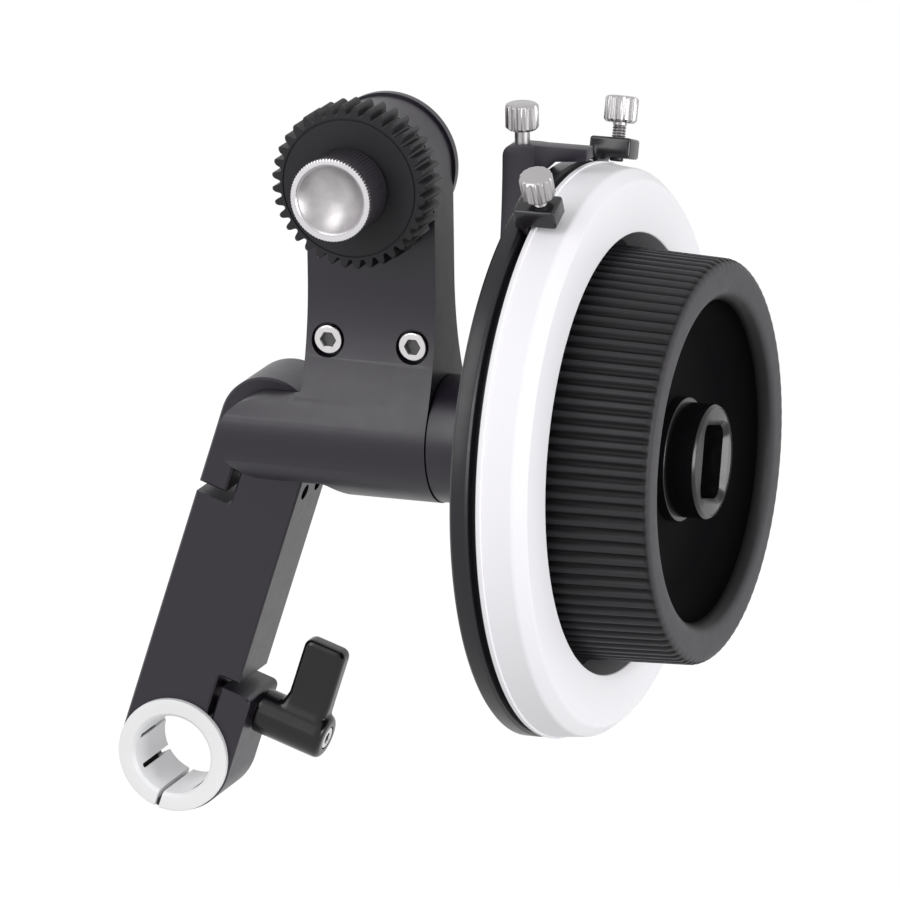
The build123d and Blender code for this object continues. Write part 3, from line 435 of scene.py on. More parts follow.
def turned(name: str, points: Profile, segments: int = 144, axis: Axis = Axis.X,
           closed: bool = False, sector: float | None = None) -> Piece:
    """Turn a profile about an axis.

    Args:
        name: the object's name.
        points: (place along the axis, radius) pairs, where a radius may depend on the angle.
        segments: steps round the axis.
        axis: the axis it is turned about.
        closed: whether the profile's last point joins its first, as in a ring.
        sector: the angle to turn through, or None for a whole turn.

    Returns:
        The turned object, about the axis through the origin.
    """
    whole = sector is None
    columns = segments if whole else segments + 1
    reach = FULL_TURN if whole else sector
    turn = axis.turn
    places = []
    for column in range(columns):
        angle = reach * column / segments
        cos, sin = math.cos(angle), math.sin(angle)
        for along, radius in points:
            value = radius(angle) if callable(radius) else radius
            places.append(turn @ Vector((value * cos, value * sin, along)))
    rows = len(points)
    faces = []
    for column in range(segments):
        near, far = column * rows, (column + 1) % columns * rows
        for row in range(rows if closed else rows - 1):
            after = (row + 1) % rows
            faces.append((near + row, far + row, far + after, near + after))
    return raw_object(name, places, faces)


def extruded(name: str, outline: Sequence[Flat], low: float, high: float, view: View,
             edge: float = 0.0, steps: int = 1) -> Piece:
    """Give a closed outline a depth and ease the edges of its two faces.

    Args:
        name: the object's name.
        outline: the outline's corners, counter-clockwise.
        low: where the first face lies.
        high: where the second face lies.
        view: the face that the outline is drawn on.
        edge: width of the eased edges.
        steps: 1 for a flat chamfer, more for a round.

    Returns:
        The solid.
    """
    rings: list[tuple[Sequence[Flat], float]] = []
    for k in range(steps + 1):
        bend = QUARTER_TURN * k / steps
        back = edge * (1 - math.sin(bend))
        rings.append((inset(outline, [back] * len(outline)), low + edge * (1 - math.cos(bend))))
    rings += [(ring, high + low - depth) for ring, depth in reversed(rings)]
    count = len(outline)
    places = [view.point(a, b, depth) for ring, depth in rings for a, b in ring]
    faces = [tuple(range(count)), tuple(range((len(rings) - 1) * count, len(rings) * count))]
    return raw_object(name, places, faces + ring_faces(len(rings), count))


def box_block(name: str, low: Sequence[float], high: Sequence[float]) -> Piece:
    """Make a block between its lowest and its highest corner, for use as a cutter."""
    outline = [(low[0], low[2]), (high[0], low[2]), (high[0], high[2]), (low[0], high[2])]
    return extruded(name, outline, low[1], high[1], View.FRONT)


def rod(name: str, radius: float, low: float, high: float, axis: Axis, place: Vector,
        segments: int = 64, mouth: float = 0.0) -> Piece:
    """Make a round cutter whose low end may open out into a chamfer.

    Args:
        name: the object's name.
        radius: its radius.
        low: its first end along the axis.
        high: its second end along the axis.
        axis: the axis it lies along.
        place: a point that its axis goes through.
        segments: steps round it.
        mouth: width by which the low end opens out at 45 degrees.

    Returns:
        The cutter.
    """
    points: Profile = [(low, 0.0), (low, radius + mouth)]
    if mouth:
        points.append((low + mouth, radius))
    points += [(high, radius), (high, 0.0)]
    return moved(turned(name, points, segments, axis), Matrix.Translation(place))


@dataclass(frozen=True)
class Blade:
    """A flat solid drawn from the front, whose thickness changes with height."""

    left: list[Flat]
    right: list[Flat]
    half: Callable[[float], float]
    edge: float
    steps: int
    edge_share: float = 0.45

    def _ring(self, outline: list[Flat], bend: float, side: int) -> list[Point]:
        """Place one ring of the eased edge.

        Args:
            outline: the closed outline.
            bend: how far round the edge the ring lies, from 0 on the face to a quarter turn.
            side: -1 for the near face and 1 for the far one.

        Returns:
            The ring's points.
        """
        widths = [min(self.edge, max(0.0, self.edge_share * 2 * self.half(up))) for _, up in outline]
        ring = inset(outline, [wide * (1 - math.sin(bend)) for wide in widths])
        points = []
        for (across, up), (_, own), wide in zip(ring, outline, widths):
            height = own if math.isclose(bend, QUARTER_TURN) else up
            points.append((across, side * (self.half(height) - wide * (1 - math.cos(bend))), up))
        return points

    def build(self, name: str) -> Piece:
        """Build the solid with its edges eased.

        Args:
            name: the object's name.

        Returns:
            The solid.
        """
        outline = self.right + self.left[::-1]
        count = len(outline)
        bends = [QUARTER_TURN * k / self.steps for k in range(self.steps + 1)]
        rings = [self._ring(outline, bend, -1) for bend in bends]
        rings += [self._ring(outline, bend, 1) for bend in reversed(bends)]
        faces = ring_faces(len(rings), count)
        for base in (0, (len(rings) - 1) * count):
            last = base + count - 1
            faces += [(base + k, base + k + 1, last - k - 1, last - k) for k in range(len(self.right) - 1)]
        return raw_object(name, [point for ring in rings for point in ring], faces)


# Finishes


@dataclass(frozen=True)
class Wiring:
    """The nodes and links of one tree."""

    tree: bpy.types.NodeTree

    def fill(self, node: bpy.types.Node, inputs: dict[str | int, object]) -> bpy.types.Node:
        """Fill a node's inputs.

        Args:
            node: the node.
            inputs: for each input, a plain value or the output that it is linked to.

        Returns:
            The same node.
        """
        for key, value in inputs.items():
            if isinstance(value, Socket):
                self.tree.links.new(value, node.inputs[key])
            else:
                node.inputs[key].default_value = value
        return node

    def add(self, kind: str, inputs: dict[str | int, object] | None = None,
            **settings: str | bool) -> bpy.types.Node:
        """Add a node.

        Args:
            kind: the node's type.
            inputs: what its inputs get, as fill takes it.
            settings: its other settings.

        Returns:
            The new node.
        """
        node = self.tree.nodes.new(kind)
        for name, value in settings.items():
            setattr(node, name, value)
        return self.fill(node, inputs or {})

    def worked_out(self, how: str, *values: float | Socket) -> Socket:
        """Work out a number from plain values or outputs."""
        return self.add("ShaderNodeMath", dict(enumerate(values)), operation=how).outputs[0]

    def ranged(self, value: Socket, source: Flat, target: Flat = (0.0, 1.0),
               smooth: bool = False) -> Socket:
        """Take a value from one range to another, softly at both ends if smooth."""
        node = self.add("ShaderNodeMapRange", {
            "Value": value, "From Min": source[0], "From Max": source[1], "To Min": target[0],
            "To Max": target[1]}, interpolation_type="SMOOTHSTEP" if smooth else "LINEAR")
        return node.outputs[0]

    def blended(self, share: Socket, first: object, second: object, clamp: bool = True) -> Socket:
        """Blend two colours, each a plain value or an output."""
        node = self.add("ShaderNodeMix", {0: share, 6: first, 7: second}, data_type="RGBA",
                        clamp_factor=clamp)
        return node.outputs[2]


@dataclass(frozen=True)
class Finish:
    """A surface finish: its colour, gloss and fine relief, with sizes in millimetres."""

    name: str
    colour: Colour
    roughness: float = 0.45
    metallic: float = 0.0
    specular: float = 0.5
    mottle: float = 0.12
    mottle_size: float = 6.0
    mottle_detail: float = 3.0
    rough_spread: float = 0.05
    rough_size: float = 2.5
    rough_detail: float = 4.0
    grain_size: float = 0.2
    grain_detail: float = 5.0
    grain_height: float = 0.002
    grain_strength: float = 0.35

    def material(self) -> bpy.types.Material:
        """Build the material once and give it back after that.

        Returns:
            The material.
        """
        title = f"{self.name}_finish"
        known = bpy.data.materials.get(title)
        if known:
            return known
        made = bpy.data.materials.new(title)
        made.use_nodes = True
        made.diffuse_color = (*self.colour, 1.0)
        wiring = Wiring(made.node_tree)
        space = wiring.add("ShaderNodeTexCoord").outputs["Object"]
        bump = wiring.add("ShaderNodeBump", {
            "Strength": self.grain_strength, "Distance": self.grain_height * METRES,
            "Height": self._relief(wiring, space)})
        wiring.fill(made.node_tree.nodes["Principled BSDF"], {
            "Base Color": self._colour(wiring, space),
            "Roughness": self._gloss(wiring, space),
            "Metallic": self.metallic,
            "Specular IOR Level": self.specular,
            "Normal": bump.outputs["Normal"]})
        return made

    def _noise(self, wiring: Wiring, space: Socket, size: float, detail: float) -> Socket:
        """Give a noise with spots of a size in millimetres and some finer layers."""
        noise = wiring.add("ShaderNodeTexNoise", {
            "Vector": space, "Scale": 1 / (size * METRES), "Detail": detail})
        return noise.outputs[0]

    def _colour(self, wiring: Wiring, space: Socket) -> Socket:
        """Vary the colour a little over the surface.

        Args:
            wiring: the material's nodes.
            space: the object's own coordinates.

        Returns:
            The colour.
        """
        spots = self._noise(wiring, space, self.mottle_size, self.mottle_detail)
        dark, light = [(*[min(1.0, part * share) for part in self.colour], 1.0)
                       for share in (1 - self.mottle, 1 + self.mottle)]
        return wiring.blended(spots, dark, light)

    def _gloss(self, wiring: Wiring, space: Socket) -> Socket:
        """Vary the roughness a little over the surface.

        Args:
            wiring: the material's nodes.
            space: the object's own coordinates.

        Returns:
            The roughness.
        """
        spots = self._noise(wiring, space, self.rough_size, self.rough_detail)
        least = max(LEAST_ROUGHNESS, self.roughness - self.rough_spread)
        return wiring.ranged(spots, NOISE_SPAN, (least, min(1.0, self.roughness + self.rough_spread)))

    def _relief(self, wiring: Wiring, space: Socket) -> Socket:
        """Make the height of the fine grain."""
        return self._noise(wiring, space, self.grain_size, self.grain_detail)


@dataclass(frozen=True)
class TurnedFinish(Finish):
    """A finish with the fine rings that a lathe leaves round a line that runs from front to back."""

    centre: Flat = (0.0, 0.0)
    ring_pitch: float = 0.22
    ring_wobble: float = 0.6
    ring_detail: float = 2.0

    def _relief(self, wiring: Wiring, space: Socket) -> Socket:
        """Make the height of the rings.

        Args:
            wiring: the material's nodes.
            space: the object's own coordinates.

        Returns:
            The height.
        """
        across, up = self.centre
        place = (-across * METRES, 0.0, -up * METRES)
        shift = wiring.add("ShaderNodeMapping", {"Vector": space, "Location": place})
        rings = wiring.add("ShaderNodeTexWave", {
            "Vector": shift.outputs[0], "Scale": WAVE_WIDTH / (self.ring_pitch * METRES),
            "Distortion": self.ring_wobble, "Detail": self.ring_detail},
            wave_type="RINGS", rings_direction=Axis.Y.name)
        return rings.outputs["Fac"]


@dataclass(frozen=True)
class RibShadeAndSheenFinish(Finish):
    """A moulded black finish with painted shade in the grooves between its ridges and a painted sheen on its
    lip.
    """

    centre: Flat = (0.0, 0.0)
    start: float = 0.0
    taper: float = 0.0
    radii: Flat = (0.0, 1.0)
    # The colour at the bottom of the grooves is painted shade, and the lighter colour towards the lip is a
    # painted sheen.
    hollow: Colour = (0.002, 0.002, 0.002)
    lip: Flat = (0.0, 1.0)
    lip_sheen: Colour = (0.06, 0.056, 0.062)

    def _colour(self, wiring: Wiring, space: Socket) -> Socket:
        """Blend from the painted shade in the grooves to the ridges' colour and on to the painted sheen on
        the lip.

        Args:
            wiring: the material's nodes.
            space: the object's own coordinates.

        Returns:
            The colour.
        """
        place = [-value * METRES for value in (self.start, *self.centre)]
        shift = wiring.add("ShaderNodeMapping", {"Vector": space, "Location": place})
        parts = wiring.add("ShaderNodeSeparateXYZ", {0: shift.outputs[0]}).outputs
        across = wiring.add("ShaderNodeCombineXYZ", {"Y": parts["Y"], "Z": parts["Z"]})
        radius = wiring.add("ShaderNodeVectorMath", {0: across.outputs[0]}, operation="LENGTH")
        level = wiring.worked_out("MULTIPLY_ADD", parts["X"], self.taper, radius.outputs["Value"])
        rise = wiring.ranged(level, [value * METRES for value in self.radii], smooth=True)
        spots = self._noise(wiring, space, self.mottle_size, self.mottle_detail)
        speckle = wiring.ranged(spots, (0.0, 1.0), (1 - self.mottle, 1 + self.mottle))
        height = wiring.worked_out("MULTIPLY", rise, speckle)
        ribbed = wiring.blended(height, (*self.hollow, 1.0), (*self.colour, 1.0), clamp=False)
        near = wiring.ranged(parts["X"], [value * METRES for value in self.lip], smooth=True)
        return wiring.blended(near, ribbed, (*self.lip_sheen, 1.0))


ANODISED = Finish("satin_black_anodise", (0.0088, 0.0052, 0.0132), 0.38, specular=0.5, mottle=0.05,
                  rough_spread=0.02, grain_size=0.16, grain_height=0.003, grain_strength=0.4)
HUB_BLACK = Finish("hub_black_anodise", (0.005, 0.0047, 0.0058), 0.26, specular=0.42, mottle=0.04,
                   rough_spread=0.02, grain_size=0.16, grain_height=0.003)
STOP_BLACK = Finish("stop_black_anodise", (0.014, 0.0124, 0.0156), 0.2, specular=0.45, mottle=0.04,
                    rough_spread=0.02, grain_size=0.16)
GLOSS_ANODISED = Finish("gloss_black_anodise", (0.0036, 0.003, 0.0044), 0.22, specular=0.4, mottle=0.04,
                        rough_spread=0.02, grain_size=0.4, grain_height=0.001)
DISC_BLACK = Finish("black_disc_anodise", (0.009, 0.0078, 0.0106), 0.34, specular=0.36, mottle=0.06,
                    rough_spread=0.03, grain_size=0.18, grain_height=0.003)
ACETAL = Finish("white_acetal", (0.88, 0.88, 0.89), 0.42, mottle=0.015, grain_size=0.5,
                grain_height=0.003)
MARKING_WHITE = Finish("white_marking_plastic", (0.86, 0.848, 0.88), 0.5, specular=0.2, mottle=0.01,
                       mottle_size=14.0, grain_size=0.3)
# Painted shade: a nearly black finish with almost no reflection, for the grip's dish and for the strips in
# the bushing's blind slits.
PAINTED_SHADE_BLACK = Finish("painted_shade_black", (0.0046, 0.0043, 0.0049), 0.5, specular=0.008, mottle=0.1,
                    rough_spread=0.04, rough_size=5.0, grain_size=0.3, grain_height=0.003)
# A lighter copy of the black anodise for the knurled nut: painted light that offsets the shade in its flutes.
KNURLED = Finish("knurled_black_anodise", (0.034, 0.0305, 0.037), 0.4, specular=0.45, mottle=0.14,
                 mottle_size=0.7, rough_spread=0.03, grain_height=0.006)
GEAR_PLASTIC = Finish("matt_black_gear", (0.0185, 0.0172, 0.0198), 0.48, specular=0.24, mottle=0.1,
                      mottle_size=1.6, rough_spread=0.03, grain_height=0.008, grain_strength=0.4)
BELT_RUBBER = Finish("black_belt_rubber", (0.012, 0.012, 0.012), 0.75, specular=0.3,
                     grain_size=0.3, grain_height=0.02)
BLACK_STEEL = Finish("black_oxide_steel", (0.014, 0.014, 0.015), 0.34, specular=0.35)
# Painted shade: a dark steel for the thin plates on the sockets' floors.
PAINTED_SHADE_STEEL = Finish("painted_shade_steel", (0.10, 0.098, 0.1), 0.5, metallic=1.0, mottle=0.2,
                      mottle_size=0.8, rough_spread=0.05, grain_height=0.0015)
SOCKET_STEEL = Finish("bright_socket_steel", (0.64, 0.625, 0.63), 0.22, metallic=1.0, mottle=0.05,
                      mottle_size=2.0, rough_spread=0.03, grain_height=0.0015)
STAINLESS = Finish("bright_stainless", (0.44, 0.426, 0.43), 0.34, metallic=1.0, mottle=0.06,
                   rough_spread=0.05, grain_size=0.3, grain_height=0.001)
PLAIN_STEEL = Finish("plain_steel", (0.42, 0.41, 0.41), 0.34, metallic=1.0, mottle=0.08)
ALUMINIUM = Finish("plain_aluminium", (0.62, 0.62, 0.63), 0.3, metallic=1.0, mottle=0.05, grain_size=0.3)
BRONZE = Finish("bearing_bronze", (0.42, 0.25, 0.10), 0.38, metallic=1.0, grain_size=0.25,
                grain_height=0.003)


# Pieces and their bodies


@dataclass(frozen=True)
class Role:
    """Where a finished piece belongs: its body, its material slot and the node it stands for."""

    name: str
    body: str
    slot: str
    stands_for: str = ""


def settle(item: Piece, role: Role, finish: Finish, place: Matrix | None = None,
           crease: float = 34.0) -> Piece:
    """Scale a form to metres, dress it and give it to its body.

    Args:
        item: the form in millimetres.
        role: where it belongs.
        finish: its finish.
        place: a last move in millimetres, or None.
        crease: edges that bend more than this many degrees stay crisp.

    Returns:
        The finished piece.
    """
    if place is not None:
        item.data.transform(place)
    item.data.transform(Matrix.Scale(METRES, 4))
    item.data.polygons.foreach_set("use_smooth", [True] * len(item.data.polygons))
    item.data.set_sharp_from_angle(angle=math.radians(crease))
    item.data.materials.clear()
    item.data.materials.append(finish.material())
    item.data.update()
    item.name = role.name
    item.data.name = role.name
    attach(item, role.body)
    if role.stands_for:
        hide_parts(role.stands_for)
    log.info("%s: %d faces on %s", role.name, len(item.data.polygons), role.body)
    return item


def dress_node(node: str, finish: Finish) -> None:
    """Give a carried node its finish.

    Args:
        node: the node's name.
        finish: its finish.
    """
    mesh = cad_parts[node].data
    mesh.materials.clear()
    mesh.materials.append(finish.material())
    log.info("%s: kept, %s", node, finish.name)


def extent(node: str) -> tuple[Vector, Vector]:
    """Give a node's lowest and highest corner in millimetres."""
    low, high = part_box(node)
    return low / METRES, high / METRES


@dataclass(frozen=True)
class RoundPattern:
    """Geometry nodes that repeat one form round an axis."""

    count: int
    axis: Axis

    @staticmethod
    def tree() -> bpy.types.NodeTree:
        """Build the node tree once and give it back after that.

        Returns:
            A tree with the inputs Count, Axis and Finish.
        """
        known = bpy.data.node_groups.get("round_pattern")
        if known:
            return known
        tree = bpy.data.node_groups.new("round_pattern", "GeometryNodeTree")
        tree.interface.new_socket(name="Geometry", in_out="OUTPUT", socket_type="NodeSocketGeometry")
        for name, kind in (("Geometry", "NodeSocketGeometry"), ("Count", "NodeSocketInt"),
                           ("Axis", "NodeSocketVector"), ("Finish", "NodeSocketMaterial")):
            tree.interface.new_socket(name=name, in_out="INPUT", socket_type=kind)
        wiring = Wiring(tree)
        given = wiring.add("NodeGroupInput").outputs
        points = wiring.add("GeometryNodePoints", {"Count": given["Count"]})
        index = wiring.add("GeometryNodeInputIndex")
        step = wiring.worked_out("DIVIDE", FULL_TURN, given["Count"])
        angle = wiring.worked_out("MULTIPLY", index.outputs[0], step)
        turn = wiring.add("FunctionNodeAxisAngleToRotation", {"Axis": given["Axis"], "Angle": angle})
        copies = wiring.add("GeometryNodeInstanceOnPoints", {
            "Points": points.outputs[0], "Instance": given["Geometry"], "Rotation": turn.outputs[0]})
        real = wiring.add("GeometryNodeRealizeInstances", {0: copies.outputs[0]})
        finish = wiring.add("GeometryNodeSetMaterial", {
            "Geometry": real.outputs[0], "Material": given["Finish"]})
        wiring.add("NodeGroupOutput", {0: finish.outputs[0]})
        return tree

    def repeat(self, item: Piece, finish: Finish) -> Piece:
        """Repeat a form that is drawn round the axis through the origin.

        Args:
            item: the form, which becomes the whole pattern.
            finish: the finish of the pattern.

        Returns:
            The same object as plain mesh.
        """
        tree = self.tree()
        sockets = {s.name: s.identifier for s in tree.interface.items_tree if s.in_out == "INPUT"}
        step = item.modifiers.new("round pattern", "NODES")
        step.node_group = tree
        step[sockets["Count"]] = self.count
        step[sockets["Axis"]] = [float(v) for v in self.axis.line]
        step[sockets["Finish"]] = finish.material()
        return cleaned(baked(item), 0.002)


@dataclass(frozen=True)
class SocketScrew:
    """A cap screw with a hexagonal socket, drawn with its head's top at 0 and its shank above."""

    head_radius: float
    head_height: float
    across: float
    depth: float
    rim: float = 0.35
    mouth: float = 0.18
    shank_radius: float = 1.5
    shank_length: float = 2.0
    # Where the thin plate of painted shade sits in the socket:
    floor_top: float = 0.02
    floor_base: float = 0.4
    floor_gap: float = 0.03
    steps: int = 72

    def build(self, name: str, axis: Axis) -> Piece:
        """Build the screw.

        Args:
            name: the object's name.
            axis: the axis that it lies along, its shank towards the axis's end.

        Returns:
            The screw.
        """
        hexa = hexagon(self.across)
        head, rim = self.head_radius, self.rim
        end = self.head_height + self.shank_length
        points: Profile = [(self.depth, 0.0), (self.depth, hexa), (self.mouth, hexa),
                           (0.0, lambda angle: hexa(angle) + self.mouth)]
        points += eased([(0.0, head - rim * 2), (0.0, head), (self.head_height, head)], {1: rim}, 4)
        points += [(self.head_height, self.shank_radius), (end, self.shank_radius), (end, 0.0)]
        return turned(name, points, self.steps, axis)

    def socket_shade_plate(self, name: str, axis: Axis) -> Piece:
        """Build a thin dark plate on the socket's floor, which is painted shade.

        Args:
            name: the object's name.
            axis: the axis that the screw lies along.

        Returns:
            The plate of painted shade, thin and six-sided.
        """
        hexa = hexagon(self.across - 2 * self.floor_gap)
        low, high = self.depth - self.floor_base, self.depth - self.floor_top
        return turned(name, [(low, 0.0), (low, hexa), (high, hexa), (high, 0.0)], self.steps, axis)


@dataclass(frozen=True)
class ThumbScrew:
    """A fluted thumb screw that stands on z = 0 with its shank going down."""

    stand_off: float
    depth: float
    shank_radius: float
    threaded: bool
    head_radius: float = 3.05
    head_height: float = 4.85
    chamfer: float = 0.5
    flutes: int = 14
    flute_depth: float = 0.36
    flute_share: float = 0.5
    flute_power: float = 0.8
    chamfer_share: float = 0.55
    lip_rise: float = 0.3
    top_round: Flat = (0.05, 0.15)
    tip_chamfer: float = 0.25
    thread_pitch: float = 0.5
    thread_depth: float = 0.2
    thread_start: float = 0.4

    def _fluted(self, angle: float) -> float:
        """Give the head's radius at an angle within one flute."""
        phase = angle * self.flutes / FULL_TURN % 1.0
        away = abs(phase - 0.5) * 2
        if away > self.flute_share:
            return self.head_radius
        groove = math.cos(away / self.flute_share * QUARTER_TURN) ** self.flute_power
        return self.head_radius - self.flute_depth * groove

    def _shank(self) -> Profile:
        """List the shank's profile from its tip up to the head, threaded or plain."""
        radius, pitch = self.shank_radius, self.thread_pitch
        points: Profile = [(-self.depth, 0.0), (-self.depth, radius - self.tip_chamfer),
                           (-self.depth + self.tip_chamfer, radius)]
        if self.threaded:
            for k in range(int((self.stand_off + self.thread_start) / pitch)):
                low = k * pitch - self.thread_start
                points += [(low, radius - self.thread_depth), (low + pitch / 2, radius)]
        points.append((self.stand_off, radius))
        return points

    def build(self, name: str, finish: Finish) -> Piece:
        """Build the screw with its flutes.

        Args:
            name: the object's name.
            finish: its finish.

        Returns:
            The screw.
        """
        base, top = self.stand_off, self.stand_off + self.head_height
        lip = self.head_radius - self.chamfer
        drop, back = self.top_round

        def shaved(angle: float) -> float:
            """Give the radius halfway along a chamfer."""
            return min(self._fluted(angle), lip + self.lip_rise)

        points = self._shank()
        points += [(base, lip), (base + self.chamfer * self.chamfer_share, shaved),
                   (base + self.chamfer, self._fluted), (top - self.chamfer, self._fluted),
                   (top - self.chamfer * (1 - self.chamfer_share), shaved),
                   (top - drop, lip), (top, lip - back), (top, 0.0)]
        piece = turned(name, points, 10, Axis.Z, sector=FULL_TURN / self.flutes)
        return RoundPattern(self.flutes, Axis.Z).repeat(piece, finish)


# Sub-assemblies


@dataclass
class SwingArm:
    """The leaning arm that clamps on the rod, with its bushing and pinch screws."""

    lean_degrees: float = 18.4
    left: float = -11.05
    right: float = 7.85
    half_depth: float = 7.2
    foot_radius: float = 11.05
    bushing_radius: float = 9.5
    flange_radius: float = 10.8
    flange_thickness: float = 1.1
    bore_radius: float = 7.5
    bore_chamfer: float = 0.6
    jaw_top: float = 16.1
    jaw_round: float = 1.2
    notch_height: float = 2.1
    notch_round: float = 0.9
    lower_slot: Flat = (3.6, 4.8)
    upper_slot: Flat = (-5.6, -4.0)
    upper_jaw: float = 52.5
    hinge: Flat = (-1.6, 67.7)
    hinge_bore: float = 5.5
    head_radius: float = 9.45
    stud_height: float = 12.3
    stud_radius: float = 2.5
    screw_height: float = 57.2
    screw_spread: float = 3.3
    recess_radius: float = 3.2
    recess_depth: float = 3.35
    recess_mouth: float = 0.25
    hole_radius: float = 1.5
    stud_hole_start: float = 5.5
    edge: float = 0.38
    bore_rounds: Flat = (0.15, 0.12)
    flange_round: float = 0.3
    slit_width: float = 0.9
    slit_depth: float = 2.2
    slit_inner: float = 4.0
    slit_reach: float = 20.0
    shade_length_share: float = 0.58
    shade_gap: float = 0.3
    slits: int = 8
    screw_sink: float = 0.35
    screw: SocketScrew = SocketScrew(2.75, 3.0, 2.5, 1.4, shank_length=13.0)

    @property
    def lean(self) -> Matrix:
        """Give the matrix that leans the upright arm."""
        return Matrix.Rotation(math.radians(self.lean_degrees), 4, "Y")

    def outline(self) -> list[Flat]:
        """Draw the arm's edge with both clamps open into their bores.

        Returns:
            The closed outline, counter-clockwise.
        """
        def height(radius: float, across: float) -> float:
            """Give the height at which a vertical line meets a circle."""
            return math.sqrt(radius ** 2 - across ** 2)

        bore, notch_top = self.bushing_radius, self.jaw_top + self.notch_height
        inner, outer = self.lower_slot
        start = math.degrees(math.atan2(height(bore, outer), outer))
        end = math.degrees(math.atan2(height(bore, inner), inner))
        low_left, low_right = (across - self.hinge[0] for across in self.upper_slot)
        notch_low = self.upper_jaw - self.notch_height
        first = math.degrees(math.atan2(-height(self.hinge_bore, low_right), low_right))
        last = math.degrees(math.atan2(-height(self.hinge_bore, low_left), low_left)) + 360
        jaw = (self.foot_radius - self.jaw_round, self.jaw_top - self.jaw_round)
        path: list[Flat] = [(outer, self.jaw_top)]
        path += arc(jaw, self.jaw_round, 90, 0, 6)
        path += arc((0, 0), self.foot_radius, 0, -180, 72)
        path += [(self.left, notch_low)]
        path += arc((self.upper_slot[1] - self.notch_round, notch_low + self.notch_round),
                    self.notch_round, -90, 0, 6)
        path += arc(self.hinge, self.hinge_bore, first, last, 60)
        path += [(self.upper_slot[0], self.upper_jaw), (self.left, self.upper_jaw)]
        path += arc(self.hinge, self.head_radius, 180, 0, 60)
        path += [(self.right, notch_top)]
        path += arc((inner + self.notch_round, notch_top - self.notch_round), self.notch_round, 90, 180, 6)
        path += arc((0, 0), bore, end, 360 + start, 72)
        path.reverse()
        return path

    def build_arm(self) -> None:
        """Build the arm with its screw holes and its stud hole."""
        arm = extruded("arm", self.outline(), -self.half_depth, self.half_depth, View.FRONT, self.edge)
        cutters = []
        for side in (-1, 1):
            place = Vector((0, side * self.screw_spread, self.screw_height))
            cutters.append(rod("hole", self.hole_radius, self.left - OVERRUN, self.right + OVERRUN,
                               Axis.X, place, segments=40))
            cutters.append(rod("recess", self.recess_radius, self.left - PROUD,
                               self.left + self.recess_depth, Axis.X, place, mouth=self.recess_mouth))
        cutters.append(rod("stud_hole", self.stud_radius, self.stud_hole_start, self.foot_radius + OVERRUN,
                           Axis.X, Vector((0, 0, self.stud_height)), segments=48))
        meet(arm, cutters, Meeting.CUT)
        settle(arm, Role("swing_arm_body", "mount_arm", "black_anodised", "swing_arm"), ANODISED, self.lean)

    def build_bushing(self) -> None:
        """Build the white split bushing, with strips of painted shade in its blind slits."""
        front, back = -self.half_depth - self.flange_thickness, self.half_depth
        bore, lip, rim = self.bore_radius, self.flange_radius, self.bore_chamfer
        inner, outer = self.bore_rounds
        profile = eased([(front + rim, bore), (front, bore + rim), (front, lip), (-self.half_depth, lip),
                         (-self.half_depth, self.bushing_radius), (back, self.bushing_radius),
                         (back, bore + rim), (back - rim, bore)],
                        {0: inner, 1: outer, 2: self.flange_round, 5: self.flange_round}, 4)
        ring = turned("bushing", profile, 144, Axis.Y, closed=True)
        half, reach, floor = self.slit_width / 2, self.slit_reach, bore + self.slit_depth
        start = front + self.flange_thickness * 2 + half
        open_slit = box_block("slit", (-half, -reach, -reach), (half, reach, 0))
        meet(ring, [open_slit, *self._slits(start, reach, -floor, -self.slit_inner)], Meeting.CUT)
        settle(ring, Role("rod_bushing_ring", "mount_arm", "white_acetal", "rod_bushing"), ACETAL,
               self.lean)
        # The dark strips set into the blind slits are painted shade, standing in for the slits' dark depth.
        deep = start + (back - start) * self.shade_length_share
        strips = self._slits(start, deep, -floor, -bore - self.shade_gap)
        settle(joined("shade", strips), Role("rod_bushing_slit_shade", "mount_arm", "black_anodised"),
               PAINTED_SHADE_BLACK, self.lean)

    def _slits(self, start: float, end: float, low: float, high: float) -> list[Piece]:
        """Fill the slits that don't cut through the bushing.

        Args:
            start: where a slit's round end has its centre.
            end: where it ends at the back.
            low: its floor, below the rod's axis.
            high: its top, below the rod's axis.

        Returns:
            One solid for each slit.
        """
        half = self.slit_width / 2
        outline = arc((0, start), half, 180, 360, 10) + [(half, end), (-half, end)]
        return [moved(extruded("slit", outline, low, high, View.TOP),
                      Matrix.Rotation(FULL_TURN * k / self.slits, 4, "Y")) for k in range(1, self.slits)]

    def build_screws(self) -> None:
        """Build the two pinch screws of the upper clamp."""
        pieces = []
        for side in (-1, 1):
            place = (self.left + self.screw_sink, side * self.screw_spread, self.screw_height)
            pieces.append(moved(self.screw.build("pinch", Axis.X), Matrix.Translation(place)))
        settle(joined("pinch", pieces),
               Role("pinch_screw_pair", "mount_arm", "bright_stainless", "pinch_screws"),
               STAINLESS, self.lean)

    def build(self) -> None:
        """Build the whole sub-assembly."""
        self.build_arm()
        self.build_bushing()
        self.build_screws()


